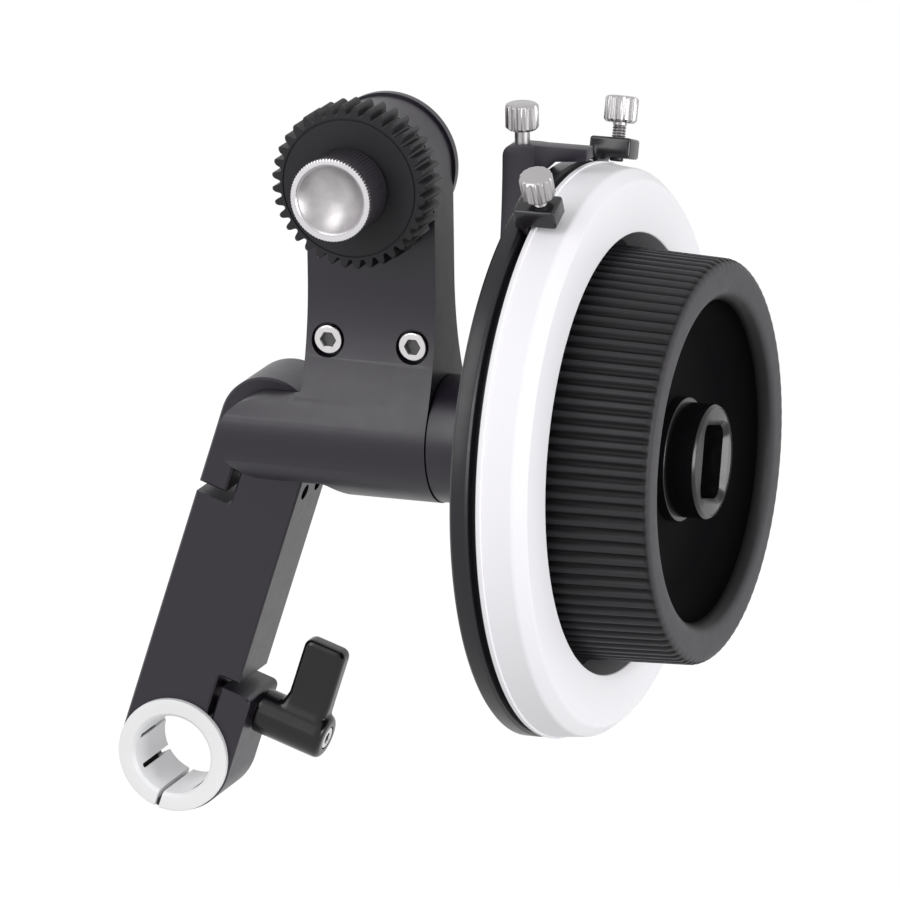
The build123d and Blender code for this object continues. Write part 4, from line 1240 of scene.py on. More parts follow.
@dataclass
class ClampLever:
    """The black clamp lever with its flat paddle and the bright screw in its end."""

    arm: SwingArm
    start: float = 11.35
    end: float = 25.25
    hub_radius: float = 4.3
    hub_round: float = 1.2
    hub_edge: float = 0.3
    paddle: Flat = (15.95, 24.25)
    paddle_top: float = 29.9
    paddle_edge: float = 1.1
    half_thickness: float = 2.1
    corner: float = 1.6
    corner_degrees: float = 88.0
    knee: float = 6.0
    left_flare: tuple[Flat, ...] = ((1.6, 0.0), (0.9, 3.4), (0.0, 6.2))
    blend: float = 5.6
    blend_foot_share: float = 0.55
    blend_width_share: float = 0.84
    chain_step: float = 0.5
    voxel: float = 0.24
    smoothing: float = 0.5
    smooth_rounds: int = 7
    crease: float = 75.0
    screw: SocketScrew = SocketScrew(2.1, 2.0, 2.0, 1.0, 0.3)
    screw_gap: float = 0.15

    def _thickness(self, up: float) -> float:
        """Give the paddle's half thickness at a height, with the blend into the hub."""
        foot = self.arm.stud_height + self.hub_radius * self.blend_foot_share
        rise = (up - foot) / self.blend
        if rise >= 1:
            return self.half_thickness
        rise = max(0.0, rise)
        wide = self.hub_radius * self.blend_width_share
        return self.half_thickness + (wide - self.half_thickness) * (1 - math.sqrt(1 - (1 - rise) ** 2))

    def build_handle(self) -> None:
        """Build the cast handle: its hub, its paddle and the blend between them."""
        low, high = self.paddle
        foot, top, corner = self.arm.stud_height, self.paddle_top, self.corner
        right = [(self.end - self.hub_round, foot), (high, foot + self.knee)]
        right += arc((high - corner, top - corner), corner, 0, self.corner_degrees, 8)
        left = [(low - out, foot + up) for out, up in self.left_flare]
        left += arc((low + corner, top - corner), corner, 180, 180 - self.corner_degrees, 8)
        chains = densified(left, self.chain_step) + densified(right, self.chain_step)
        heights = sorted({round(z, 4) for _, z in chains})
        blade = Blade([(self._across(left, z), z) for z in heights],
                      [(self._across(right, z), z) for z in heights],
                      self._thickness, self.paddle_edge, 4).build("blade")
        hub = turned("hub", eased([(self.start, 0.0), (self.start, self.hub_radius),
                                   (self.end, self.hub_radius), (self.end, 0.0)],
                                  {1: self.hub_edge, 2: self.hub_round}), 96)
        moved(hub, Matrix.Translation((0, 0, foot)))
        handle = meet(blade, [hub], Meeting.JOIN)
        remesh = handle.modifiers.new("cast", "REMESH")
        remesh.mode = "VOXEL"
        remesh.voxel_size = self.voxel
        smooth = handle.modifiers.new("soften", "SMOOTH")
        smooth.factor = self.smoothing
        smooth.iterations = self.smooth_rounds
        baked(handle)
        recess = rod("recess", self.screw.head_radius + self.screw_gap, self.end - self.screw.head_height,
                     self.end + OVERRUN, Axis.X, Vector((0, 0, foot)))
        meet(handle, [recess], Meeting.CUT)
        settle(handle, Role("clamp_lever_handle", "clamp_lever", "gloss_black_anodised",
                            "lever_handle"), GLOSS_ANODISED, self.arm.lean, self.crease)

    @staticmethod
    def _across(chain: Sequence[Flat], up: float) -> float:
        """Read a rising chain's place across at a height."""
        if up >= chain[-1][1]:
            return chain[-1][0]
        for low, high in zip(chain, chain[1:]):
            if low[1] <= up <= high[1] and high[1] > low[1]:
                return low[0] + (high[0] - low[0]) * (up - low[1]) / (high[1] - low[1])
        return chain[0][0]

    def build_screw(self) -> None:
        """Build the bright socket screw in the hub's end, with painted shade on its socket's floor."""
        turn = Matrix.Rotation(math.pi, 4, "Z")
        place = self.arm.lean @ Matrix.Translation((self.end, 0, self.arm.stud_height)) @ turn
        # The dark plate on the socket's floor is painted shade.
        settle(self.screw.socket_shade_plate("floor", Axis.X),
               Role("lever_screw_socket_shade", "clamp_lever", "black_steel"), PAINTED_SHADE_STEEL, place)
        settle(self.screw.build("screw", Axis.X),
               Role("lever_end_screw", "clamp_lever", "bright_stainless", "lever_screw"),
               SOCKET_STEEL, place)

    def build(self) -> None:
        """Build the lever and its screw, and dress the stud."""
        self.build_handle()
        self.build_screw()
        dress_node("clamp_stud", PLAIN_STEEL)


@dataclass
class DriveHead:
    """The head that swings on the arm: its housings, hinge, rear cap and collar."""

    barrel_radius: float = 12.0
    gear_height: float = 49.9
    half_arm: float = 12.5
    front_face: float = 5.0
    rear_face: float = 4.6
    flare_top: float = 30.0
    tongue: Flat = (-20.6, -0.71)
    tongue_radius: float = 7.8
    tongue_round: float = 3.0
    tongue_rear: float = -3.3
    left_edge: float = -12.0
    step_low: Flat = (-4.4, -12.0)
    step_high: Flat = (-8.6, -8.51)
    step_round: float = 2.2
    screw_place: Flat = (8.255, 18.4)
    recess_radius: float = 3.2
    recess_floor: float = 4.65
    boss_radius: float = 6.2
    boss_front: float = -7.05
    boss_round: float = 0.3
    boss_sink: float = 1.0
    seam: float = 0.13
    seam_band: float = 0.01
    edge: float = 0.34
    crease: float = 20.0
    reach: float = 30.0
    tongue_cut: Point = (20.0, 5.0, 40.0)
    barrel_steps: int = 30
    rise_steps: int = 90
    screw: SocketScrew = SocketScrew(2.75, 1.6, 2.5, 1.3)
    collar_radius: float = 11.8
    collar_span: Flat = (12.5, 31.6)
    collar_gap: float = 0.12
    collar_rounds: Point = (0.15, 0.35, 0.2)
    bearing_radius: float = 8.0
    cap_radius: float = 13.0
    cap_span: Flat = (4.6, 7.0)
    cap_edge: float = 0.8
    cap_round: float = 0.3
    cap_screws: int = 3
    cap_screw_circle: float = 9.45
    cap_screw_radius: float = 1.9
    cap_screw_gap: float = 0.05
    cap_screw_sink: float = 1.2
    cap_screw_shank: float = 1.0
    cap_screw_length: float = 3.2
    cap_screw_lip: Flat = (0.02, 0.12)
    cap_screw_shoulder: Flat = (0.15, 0.05)
    cap_socket_across: float = 1.3
    cap_socket_depths: Flat = (0.7, 0.6)
    hinge_bore: float = 2.0
    washer_rounds: Flat = (0.2, 0.25)
    hinge_head_height: float = 2.2
    hinge_socket: Flat = (2.5, 1.4)
    hinge_shank: Flat = (2.0, 6.0)
    origin: Point = (41.6512, -4.2, 64.9939)

    @property
    def place(self) -> Matrix:
        """Give the matrix that moves the head's own frame to its place."""
        return Matrix.Translation(self.origin)

    def side(self, face: float) -> Callable[[float], float]:
        """Describe the side view: a barrel that blends up into the flat arm.

        Args:
            face: how far the arm's flat face stands from the middle.

        Returns:
            A function from height to depth.
        """
        barrel, flare = self.barrel_radius, self.flare_top
        blend = (face ** 2 + flare ** 2 - barrel ** 2) / (2 * (barrel - face))
        touch = barrel * flare / (blend + barrel)

        def depth(up: float) -> float:
            """Give the depth at a height."""
            if up <= touch:
                return math.sqrt(max(0.0, barrel ** 2 - up ** 2))
            if up >= flare:
                return face
            return face + blend - math.sqrt(blend ** 2 - (flare - up) ** 2)
        return depth

    def outline(self, with_tongue: bool) -> list[Flat]:
        """Draw the head's front view.

        Args:
            with_tongue: whether the outline runs round the hinge tongue.

        Returns:
            The closed outline, counter-clockwise.
        """
        half, top = self.half_arm, self.gear_height
        path: list[Flat] = [self.step_low, (half, self.step_low[1]), (half, top)]
        path += arc((0, top), half, 4, 176, 43)
        if with_tongue:
            rise = self.step_high[1] + PROUD - self.tongue[1]
            start = math.degrees(math.asin(rise / self.tongue_radius))
            bend = self.tongue_round
            path += [(-half, top)]
            path += arc((-half - bend, self.tongue[1] + self.tongue_radius + bend), bend, 0, -90, 8)
            path += arc(self.tongue, self.tongue_radius, 90, 180 - start, 48)
            path += [self.step_high]
        else:
            left = self.left_edge
            path += [(-half, top), (-half, half), (left, half), (left, self.step_high[1]), self.step_high]
        return eased(path, {0: self.step_round, len(path) - 1: self.step_round}, 8)

    def housing(self, name: str, front: bool) -> Piece:
        """Build one half of the housing.

        Args:
            name: the object's name.
            front: whether it is the front half.

        Returns:
            The half, in the head's own frame.
        """
        reach, top = self.reach, self.gear_height + self.half_arm
        span = (-reach, 0.0) if front else (0.0, reach)
        body = extruded(name, self.outline(front), *span, View.FRONT)
        depth = self.side(self.front_face if front else self.rear_face)
        heights = [-self.barrel_radius * math.cos(QUARTER_TURN * k / self.barrel_steps)
                   for k in range(1, self.barrel_steps + 1)]
        rises = [top * k / self.rise_steps for k in range(1, self.rise_steps + 1)]
        heights += [rise for rise in rises if rise < self.flare_top]
        heights += [self.flare_top, top + OVERRUN]
        side = [(-depth(z), z) if front else (depth(z), z) for z in heights]
        side = [(0.0, -self.barrel_radius), *side, (0.0, top + OVERRUN)]
        if front:
            side.reverse()
        slab = extruded("side", side, -reach - 10 * OVERRUN, reach, View.SIDE)
        meet(body, [slab], Meeting.KEEP)
        return body

    def _ease(self, low: Vector, high: Vector) -> float:
        """Give an edge's share of the ease, which is less along the seam of the two halves."""
        at_seam = max(abs(low.y), abs(high.y)) < self.seam_band
        return self.seam / self.edge if at_seam else 1.0

    def build_housings(self) -> None:
        """Build both halves of the housing."""
        front = self.housing("front", True)
        left, back, down = self.tongue_cut
        high = self.tongue[1] + self.tongue_radius + self.tongue_round
        cutters = [box_block("tongue_rear", (self.tongue[0] - left, self.tongue_rear, -down),
                             (self.left_edge, back, high))]
        for side in (-1, 1):
            place = Vector((side * self.screw_place[0], 0, self.screw_place[1]))
            cutters.append(rod("recess", self.recess_radius, -self.reach, -self.recess_floor, Axis.Y,
                               place, segments=72))
        meet(front, cutters, Meeting.CUT)
        eased_edges(front, self.edge, share=self._ease)
        rear_end = self.boss_sink - self.front_face
        boss = turned("boss", eased([(self.boss_front, 0.0), (self.boss_front, self.boss_radius),
                                     (rear_end, self.boss_radius), (rear_end, 0.0)],
                                    {1: self.boss_round}), 72, Axis.Y)
        moved(boss, Matrix.Translation((0, 0, self.gear_height)))
        settle(joined("front", [front, boss]),
               Role("front_housing_body", "drive_head", "black_anodised", "front_housing"),
               ANODISED, self.place, self.crease)
        rear = eased_edges(self.housing("rear", False), self.edge, share=self._ease)
        settle(rear, Role("rear_housing_body", "drive_head", "black_anodised", "rear_housing"),
               ANODISED, self.place, self.crease)

    def build_housing_screws(self) -> None:
        """Build the two bright screws on the front of the gear arm, with painted shade on their sockets'
        floors.
        """
        low, _ = extent("housing_screws")
        pieces, socket_shades = [], []
        for side in (-1, 1):
            place = Matrix.Translation((self.origin[0] + side * self.screw_place[0], low.y,
                                        self.origin[2] + self.screw_place[1]))
            pieces.append(moved(self.screw.build("screw", Axis.Y), place))
            socket_shades.append(moved(self.screw.socket_shade_plate("floor", Axis.Y), place))
        # The dark plates on the sockets' floors are painted shade.
        settle(joined("socket_shades", socket_shades), Role("housing_screw_socket_shades", "drive_head", "black_steel"),
               PAINTED_SHADE_STEEL)
        settle(joined("screws", pieces),
               Role("housing_screw_pair", "drive_head", "bright_stainless", "housing_screws"), SOCKET_STEEL)

    def build_rear_cap(self) -> None:
        """Build the round rear cap with its three countersunk screws."""
        low, high = self.cap_span
        profile = eased([(low, 0.0), (low, self.cap_radius), (high - self.cap_edge, self.cap_radius),
                         (high, self.cap_radius - self.cap_edge), (high, 0.0)],
                        {2: self.cap_round, 3: self.cap_round}, 3)
        cap = turned("cap", profile, 144, Axis.Y)
        sink, end = high - self.cap_screw_sink, high - self.cap_screw_length
        shank, wide = self.cap_screw_shank, self.cap_screw_radius + self.cap_screw_gap
        out = Matrix.Translation((0, 0, self.cap_screw_circle))
        pattern = RoundPattern(self.cap_screws, Axis.Y)
        proud = high + OVERRUN / 2
        cutter = turned("sink", [(proud, 0.0), (proud, wide), (high, wide), (sink, shank), (sink, 0.0)],
                        48, Axis.Y)
        meet(cap, [pattern.repeat(moved(cutter, out), ANODISED)], Meeting.CUT)
        lift = self.place @ Matrix.Translation((0, 0, self.gear_height))
        settle(cap, Role("rear_cap_disc", "drive_head", "black_anodised", "rear_cap"), ANODISED, lift)
        hexa, head = hexagon(self.cap_socket_across), self.cap_screw_radius
        deep, shallow = self.cap_socket_depths
        (lip_drop, lip_back), (drop, back) = self.cap_screw_lip, self.cap_screw_shoulder
        screw = turned("cap_screw", [(high - deep, 0.0), (high - shallow, hexa), (high, hexa),
                                     (high - lip_drop, head - lip_back), (high - drop, head - back),
                                     (sink, shank), (end, shank), (end, 0.0)], 48, Axis.Y)
        pattern.repeat(moved(screw, out), BLACK_STEEL)
        settle(screw, Role("rear_cap_screw_set", "drive_head", "black_steel", "rear_cap_screws"),
               BLACK_STEEL, lift)

    def build_hinge(self) -> None:
        """Build the hinge's washer and rear screw, and dress its pin."""
        low, high = extent("hinge_washer")
        centre = Vector(((low.x + high.x) / 2, 0, (low.z + high.z) / 2))
        radius = (high.x - low.x) / 2
        bore, (first, last) = self.hinge_bore, self.washer_rounds
        profile = eased([(low.y, bore), (low.y, radius), (high.y, radius), (high.y, bore)],
                        {1: first, 2: last}, 3)
        washer = turned("washer", profile, 96, Axis.Y, closed=True)
        settle(washer, Role("hinge_washer_ring", "drive_head", "bright_stainless", "hinge_washer"),
               STAINLESS, Matrix.Translation(centre))
        low, high = extent("hinge_screw")
        screw = SocketScrew((high.x - low.x) / 2, self.hinge_head_height, *self.hinge_socket,
                            shank_radius=self.hinge_shank[0], shank_length=self.hinge_shank[1])
        piece = screw.build("hinge_screw", Axis.Y)
        place = Matrix.Translation((centre.x, high.y, centre.z)) @ Matrix.Rotation(math.pi, 4, "X")
        settle(piece, Role("hinge_rear_screw", "drive_head", "bright_stainless", "hinge_screw"),
               STAINLESS, place)
        dress_node("hinge_pin", PLAIN_STEEL)

    def build_collar(self) -> None:
        """Build the collar that carries the wheel shaft."""
        low, high = self.collar_span[0] + self.collar_gap, self.collar_span[1]
        bore = self.bearing_radius
        profile = eased([(low, bore), (low, self.collar_radius), (high, self.collar_radius), (high, bore)],
                        dict(enumerate(self.collar_rounds, 1)), 3)
        collar = turned("collar", profile, 144, closed=True)
        settle(collar, Role("output_collar_ring", "drive_head", "black_anodised", "output_collar"),
               ANODISED, self.place)

    def build(self) -> None:
        """Build the whole head."""
        self.build_housings()
        self.build_housing_screws()
        self.build_rear_cap()
        self.build_hinge()
        self.build_collar()


@dataclass
class IndexBracket:
    """The post behind the disc, its finger over the marking ring and its thumb screw."""

    head: DriveHead
    span: Flat = (24.7, 30.9)
    top: float = 56.9
    half_width: float = 2.0
    foot_height: float = 17.07
    foot_width: float = 10.0
    eye: Flat = (11.8, 15.4)
    corner: float = 2.2
    finger_end: float = 40.8
    finger_thickness: float = 2.2
    finger_web: float = 3.6
    finger_half: float = 1.7
    finger_neck: float = 1.2
    web_rise_share: float = 1.1
    web_drop: float = 0.5
    web_round: float = 0.8
    flare_share: float = 0.28
    foot: float = 13.4
    edge: float = 0.3
    steps: int = 48
    screw: ThumbScrew = ThumbScrew(2.5, 6.8, 1.4, False)

    def _half(self, up: float) -> float:
        """Give the post's half width at a height."""
        drop = self.top - self.foot_height
        flare = self.foot_width - self.half_width
        bend = self.half_width + flare * self.flare_share
        middle = self.top - drop / 2
        sag = (self.half_width + self.foot_width) / 2 - bend
        share = (up - middle) / (drop / 2)
        straight = self.half_width + flare * (self.top - up) / drop
        return straight - sag * (1 - share ** 2)

    def build(self) -> None:
        """Build the bracket and its thumb screw."""
        low, high = self.span
        foot, top, web, end = self.foot, self.top, self.finger_web, self.finger_end
        base, run = top - self.finger_thickness, 5 * OVERRUN
        front = eased([(low, foot), (high, foot), (high, base - web * self.web_rise_share),
                       (high + web, base - self.web_drop), (end, base), (end, top), (low, top)],
                      {2: self.web_round, 3: self.web_round, 6: self.corner}, 6)
        post = extruded("post", front, -self.foot_width, self.foot_width, View.FRONT)
        heights = [foot + (top - foot) * k / self.steps for k in range(self.steps + 1)]
        side = [(self._half(z), z) for z in heights]
        side += [(-across, z) for across, z in reversed(side)]
        meet(post, [extruded("side", side, low - run, end + run, View.SIDE)], Meeting.KEEP)
        wide, slim, neck = self.foot_width + OVERRUN, self.finger_half, high + self.finger_neck
        plan = [(low - OVERRUN, -wide), (high, -wide), (high, -self.half_width), (neck, -slim),
                (end + OVERRUN, -slim)]
        plan += [(across, -depth) for across, depth in reversed(plan)]
        meet(post, [extruded("plan", plan, foot - run, top + run, View.TOP)], Meeting.KEEP)
        eased_edges(post, self.edge)
        eye = turned("eye", eased([(low, self.eye[0]), (low, self.eye[1]), (high, self.eye[1]),
                                   (high, self.eye[0])], {1: self.edge, 2: self.edge}, 3), 120, closed=True)
        bracket = joined("bracket", [post, eye])
        settle(bracket, Role("index_bracket_post", "drive_head", "black_anodised", "index_bracket"),
               ANODISED, self.head.place)
        dress_node("bracket_grub", BLACK_STEEL)
        screw = self.screw.build("index_screw", STAINLESS)
        place = self.head.place @ Matrix.Translation(((low + high) / 2, 0, self.top))
        settle(screw, Role("index_thumb_screw_body", "index_screw", "bright_stainless",
                           "index_thumb_screw"), STAINLESS, place)


@dataclass
class FocusWheel:
    """The focus wheel: disc, marking ring, ribbed hand grip and the hub with its socket."""

    head: DriveHead
    disc: Flat = (32.9, 36.4)
    disc_radius: float = 52.7
    disc_edge: float = 0.5
    disc_round: float = 0.12
    bore: float = 4.0
    step_radius: float = 50.3
    step_end: float = 37.9
    spigot_radius: float = 40.3
    spigot_end: float = 39.1
    screws: int = 4
    screw_circle: float = 9.0
    screw_recess: Flat = (2.75, 3.0)
    screw: SocketScrew = SocketScrew(2.72, 2.9, 2.5, 1.4, shank_length=1.0)
    ring: Flat = (37.95, 46.8)
    ring_bore: float = 40.4
    ring_round: float = 0.3
    bead_rounds: Flat = (0.2, 0.12)
    shoulder_round: float = 1.6
    face_chamfer: Flat = (0.35, 0.4)
    bead: float = 52.75
    bead_width: float = 1.0
    band: float = 52.4
    shoulder: Flat = (6.6, 51.9)
    face: float = 50.2
    grip_rear_radius: float = 38.0
    grip_front_radius: float = 37.0
    grip_front: float = 64.75
    grip_round: float = 1.9
    grip_gap: float = 0.3
    grip_step: float = 0.4
    dish_radius: float = 29.4
    dish_floor: float = 56.7
    dish_round: float = 5.5
    dish_lip: float = 2.8
    dish_skin: float = 0.5
    dish_skin_share: float = 0.9
    lip_ends: Flat = (0.1, 0.13)
    ribs: int = 96
    rib_depth: float = 0.55
    rib_share: float = 0.56
    rib_power: float = 0.6
    rib_crown: float = 0.07
    rib_fade_share: float = 0.15
    # The ribs are free of painted shade above this depth below their crest, and the painted sheen on the lip
    # fades in between the next two distances behind the grip's front.
    shade_free_depth: float = 0.1
    lip_sheen_reach: Flat = (0.85, 0.05)
    hub_base: Flat = (11.4, 2.0)
    hub_radius: float = 10.5
    hub_front: float = 64.4
    hub_chamfer: float = 0.7
    hub_rounds: Flat = (0.25, 0.1)
    hub_screw: SocketScrew = SocketScrew(3.5, 1.6, 2.5, 0.8, shank_length=0.5)
    socket: Point = (12.0, 13.4, 2.4)
    socket_depth: float = 5.2
    socket_chamfer: float = 0.9
    socket_turn: float = -15.0

    def build_disc(self) -> None:
        """Build the black disc with its counterbored screws."""
        low, high = self.disc
        edge, bore = self.disc_edge, self.bore
        points = eased([(low, bore), (low, self.disc_radius - edge), (low + edge, self.disc_radius),
                        (high - edge, self.disc_radius), (high, self.disc_radius - edge),
                        (high, self.step_radius), (self.step_end, self.step_radius),
                        (self.step_end, self.spigot_radius), (self.spigot_end, self.spigot_radius),
                        (self.spigot_end, bore)], {corner: self.disc_round for corner in range(1, 5)}, 2)
        disc = turned("disc", points, 288, closed=True)
        pattern = RoundPattern(self.screws, Axis.X)
        radius, depth = self.screw_recess
        cutter = rod("bore", radius, low - OVERRUN, low + depth, Axis.X, Vector((0, self.screw_circle, 0)),
                     segments=48)
        meet(disc, [pattern.repeat(cutter, DISC_BLACK)], Meeting.CUT)
        settle(disc, Role("wheel_disc_plate", "focus_wheel", "black_disc", "wheel_disc"),
               DISC_BLACK, self.head.place)
        screw = moved(self.screw.build("wheel_screw", Axis.X),
                      Matrix.Translation((low, self.screw_circle, 0)))
        pattern.repeat(screw, PLAIN_STEEL)
        settle(screw, Role("wheel_screw_set", "focus_wheel", "plain_steel", "wheel_screws"),
               PLAIN_STEEL, self.head.place)

    def build_ring(self) -> None:
        """Build the white marking ring."""
        low, high = self.ring
        edge, (crest, foot), (drop, back) = self.ring_round, self.bead_rounds, self.face_chamfer
        profile = eased([(low, self.ring_bore), (low, self.bead), (low + self.bead_width, self.bead),
                         (low + self.bead_width, self.band), (low + self.shoulder[0], self.shoulder[1]),
                         (high - drop, self.face), (high, self.face - back), (high, self.ring_bore)],
                        {1: edge, 2: crest, 3: foot, 4: self.shoulder_round, 5: edge, 6: edge, 7: edge}, 5)
        ring = turned("ring", profile, 288, closed=True)
        settle(ring, Role("marking_ring_band", "marking_ring_body", "white_marking_plastic",
                          "marking_ring"), MARKING_WHITE, self.head.place)

    def _ridge(self, along: float) -> float:
        """Give the radius of the ridges' crest at a place along the wheel's axis."""
        share = (along - self.spigot_end) / (self.grip_front - self.spigot_end)
        return self.grip_rear_radius + (self.grip_front_radius - self.grip_rear_radius) * share

    def _rib(self, along: float, limit: float) -> Callable[[float], float]:
        """Give the grip's radius within one rib.

        Args:
            along: the place along the wheel's axis.
            limit: the radius of the plain body there, which its rounded corner lowers.

        Returns:
            A function from angle to radius.
        """
        def radius(angle: float) -> float:
            """Give the grip's radius at an angle."""
            away = abs(angle * self.ribs / FULL_TURN % 1.0 - 0.5) * 2
            if away < self.rib_share:
                hollow = (1 - (away / self.rib_share) ** 2) ** self.rib_power
                drop = self.rib_depth * hollow + self.rib_crown
            else:
                drop = self.rib_crown * ((1 - away) / (1 - self.rib_share)) ** 2
            return min(limit - drop * self.rib_fade_share, self._ridge(along) - drop)
        return radius

    @property
    def plastic(self) -> RibShadeAndSheenFinish:
        """Give the grip's finish, with painted shade in the grooves of its ribs and a painted sheen on its
        lip.
        """
        along, *centre = self.head.origin
        length, rear = self.grip_front - self.spigot_end, self.grip_rear_radius
        return RibShadeAndSheenFinish("matt_black_grip", (0.027, 0.0254, 0.029), 0.5, specular=0.19, mottle_size=2.0,
                            rough_spread=0.03, grain_size=0.22, grain_height=0.008, grain_strength=0.4,
                            centre=centre, start=along + self.spigot_end,
                            taper=(rear - self.grip_front_radius) / length,
                            radii=(rear - self.rib_depth, rear - self.shade_free_depth),
                            lip=[length - wear for wear in self.lip_sheen_reach], lip_sheen=(0.048, 0.045, 0.05))

    def build_grip(self) -> None:
        """Build the dished hand grip with the grooves that run out through its rounded corner, and its dish
        as a shell of painted shade.
        """
        rear, front, floor = self.spigot_end, self.grip_front, self.dish_floor
        start = rear + self.grip_gap
        profile = eased([(start, self._ridge(start)), (front, self.grip_front_radius),
                         (front, self.dish_radius)], {1: self.grip_round}, 12)
        bore, skin = self.dish_radius, self.dish_skin
        mouth, lip = [front - self.dish_lip - end for end in self.lip_ends]
        points: Profile = [
            (rear, self.bore), (rear, self.grip_rear_radius - self.rib_depth - self.grip_step)]
        points += [(along, self._rib(along, limit)) for along, limit in profile[:-2]]
        points += eased([profile[-2], (front, bore), (mouth, bore)], {1: self.dish_lip}, 8)
        points += [(mouth, bore + skin), (floor - skin, bore + skin), (floor - skin, self.bore)]
        sector = turned("grip", points, 12, closed=True, sector=FULL_TURN / self.ribs)
        grip = RoundPattern(self.ribs, Axis.X).repeat(sector, self.plastic)
        settle(grip, Role("hand_grip_body", "focus_wheel", "black_grip_plastic", "hand_grip"),
               self.plastic, self.head.place)
        # The dish is a separate shell in painted shade, much darker than the grip's own plastic and with
        # almost no reflection.
        shell = skin * self.dish_skin_share
        profile = eased([(lip, bore), (floor, bore), (floor, self.bore), (floor - shell, self.bore),
                         (floor - shell, bore + shell), (lip, bore + shell)],
                        {1: self.dish_round, 4: self.dish_round}, 16)
        dish = turned("dish", profile, 240, closed=True)
        settle(dish, Role("hand_grip_dish", "focus_wheel", "black_grip_plastic"), PAINTED_SHADE_BLACK,
               self.head.place)

    def build_hub(self) -> None:
        """Build the hub with its rounded square socket and the screw at its bottom."""
        base_radius, base_height = self.hub_base
        front, chamfer = self.hub_front, self.hub_chamfer
        width, height, corner = self.socket
        wide = self.socket_chamfer
        mouth = rounded_rectangle(width + 2 * wide, height + 2 * wide, corner + wide, self.socket_turn)
        hole = rounded_rectangle(width, height, corner, self.socket_turn)
        floor, foot = front - self.socket_depth, self.dish_floor
        shoulder, (step, edge) = foot + base_height, self.hub_rounds
        points: Profile = [(foot, 0.0)]
        points += eased([(foot, base_radius), (shoulder, base_radius), (shoulder, self.hub_radius),
                         (front - chamfer, self.hub_radius), (front, self.hub_radius - chamfer)],
                        {1: step, 3: edge, 4: edge}, 3)
        points += [(front, mouth), (front - wide, hole), (floor, hole), (floor, 0.0)]
        hub = turned("hub", points, 192)
        settle(hub, Role("whip_hub_body", "focus_wheel", "black_anodised", "whip_hub"),
               HUB_BLACK, self.head.place)
        screw = self.hub_screw.build("hub_screw", Axis.X)
        seat = Matrix.Translation((floor + self.hub_screw.head_height, 0, 0))
        settle(screw, Role("hub_socket_screw", "focus_wheel", "black_steel", "hub_screw"),
               BLACK_STEEL, self.head.place @ seat @ Matrix.Rotation(math.pi, 4, "Z"))

    def build(self) -> None:
        """Build the whole wheel."""
        self.build_disc()
        self.build_ring()
        self.build_grip()
        self.build_hub()


@dataclass
class HardStop:
    """A hard stop clamped on the disc's rim, with its thumb screw."""

    head: DriveHead
    name: str
    body: str
    screw_body: str
    degrees: float
    screw_stand_off: float = 1.6
    span: Flat = (35.4, 43.3)
    half_width: float = 2.75
    levels: tuple[float, float, float] = (51.4, 53.5, 57.2)
    hook: Flat = (36.6, 37.7)
    foot: float = 52.75
    edge: float = 0.6
    screw_place: float = 40.0
    screw_gap: float = 0.1
    screw_radius: float = 1.3
    tip_radius: float = 1.25
    tip_gap: float = 0.15
    tip_overlap: float = 0.2
    tip_round: float = 0.3

    @property
    def place(self) -> Matrix:
        """Give the matrix that sets the stop round the wheel's axis."""
        return self.head.place @ Matrix.Rotation(math.radians(-self.degrees), 4, "X")

    def build(self) -> None:
        """Build the stop's block and its thumb screw."""
        low, high = self.span
        tip, base, top = self.levels
        outline = [(low, self.foot), (self.hook[0], self.foot), (self.hook[0], tip), (self.hook[1], tip),
                   (self.hook[1], base), (high, base), (high, top), (low, top)]
        half = self.half_width
        block = extruded("stop", outline, -half, half, View.FRONT)
        eased_edges(block, self.edge, 4)
        settle(block, Role(f"{self.name}_block", self.body, "black_anodised", self.name),
               STOP_BLACK, self.place)
        screw = ThumbScrew(self.screw_stand_off, top - base - self.screw_gap, self.screw_radius, True)
        place = self.place @ Matrix.Translation((self.screw_place, 0, top))
        settle(screw.build("stop_screw", STAINLESS),
               Role(f"{self.name}_thumb_screw", self.screw_body, "bright_stainless",
                    f"{self.name}_screw"), STAINLESS, place)
        start, end, radius = self.foot + self.tip_gap, base + self.tip_overlap, self.tip_radius
        tip = turned("tip", eased([(start, 0.0), (start, radius), (end, radius), (end, 0.0)],
                                  {1: self.tip_round}), 40, Axis.Z)
        settle(tip, Role(f"{self.name}_screw_tip", self.screw_body, "black_steel"), BLACK_STEEL,
               self.place @ Matrix.Translation((self.screw_place, 0, 0)))


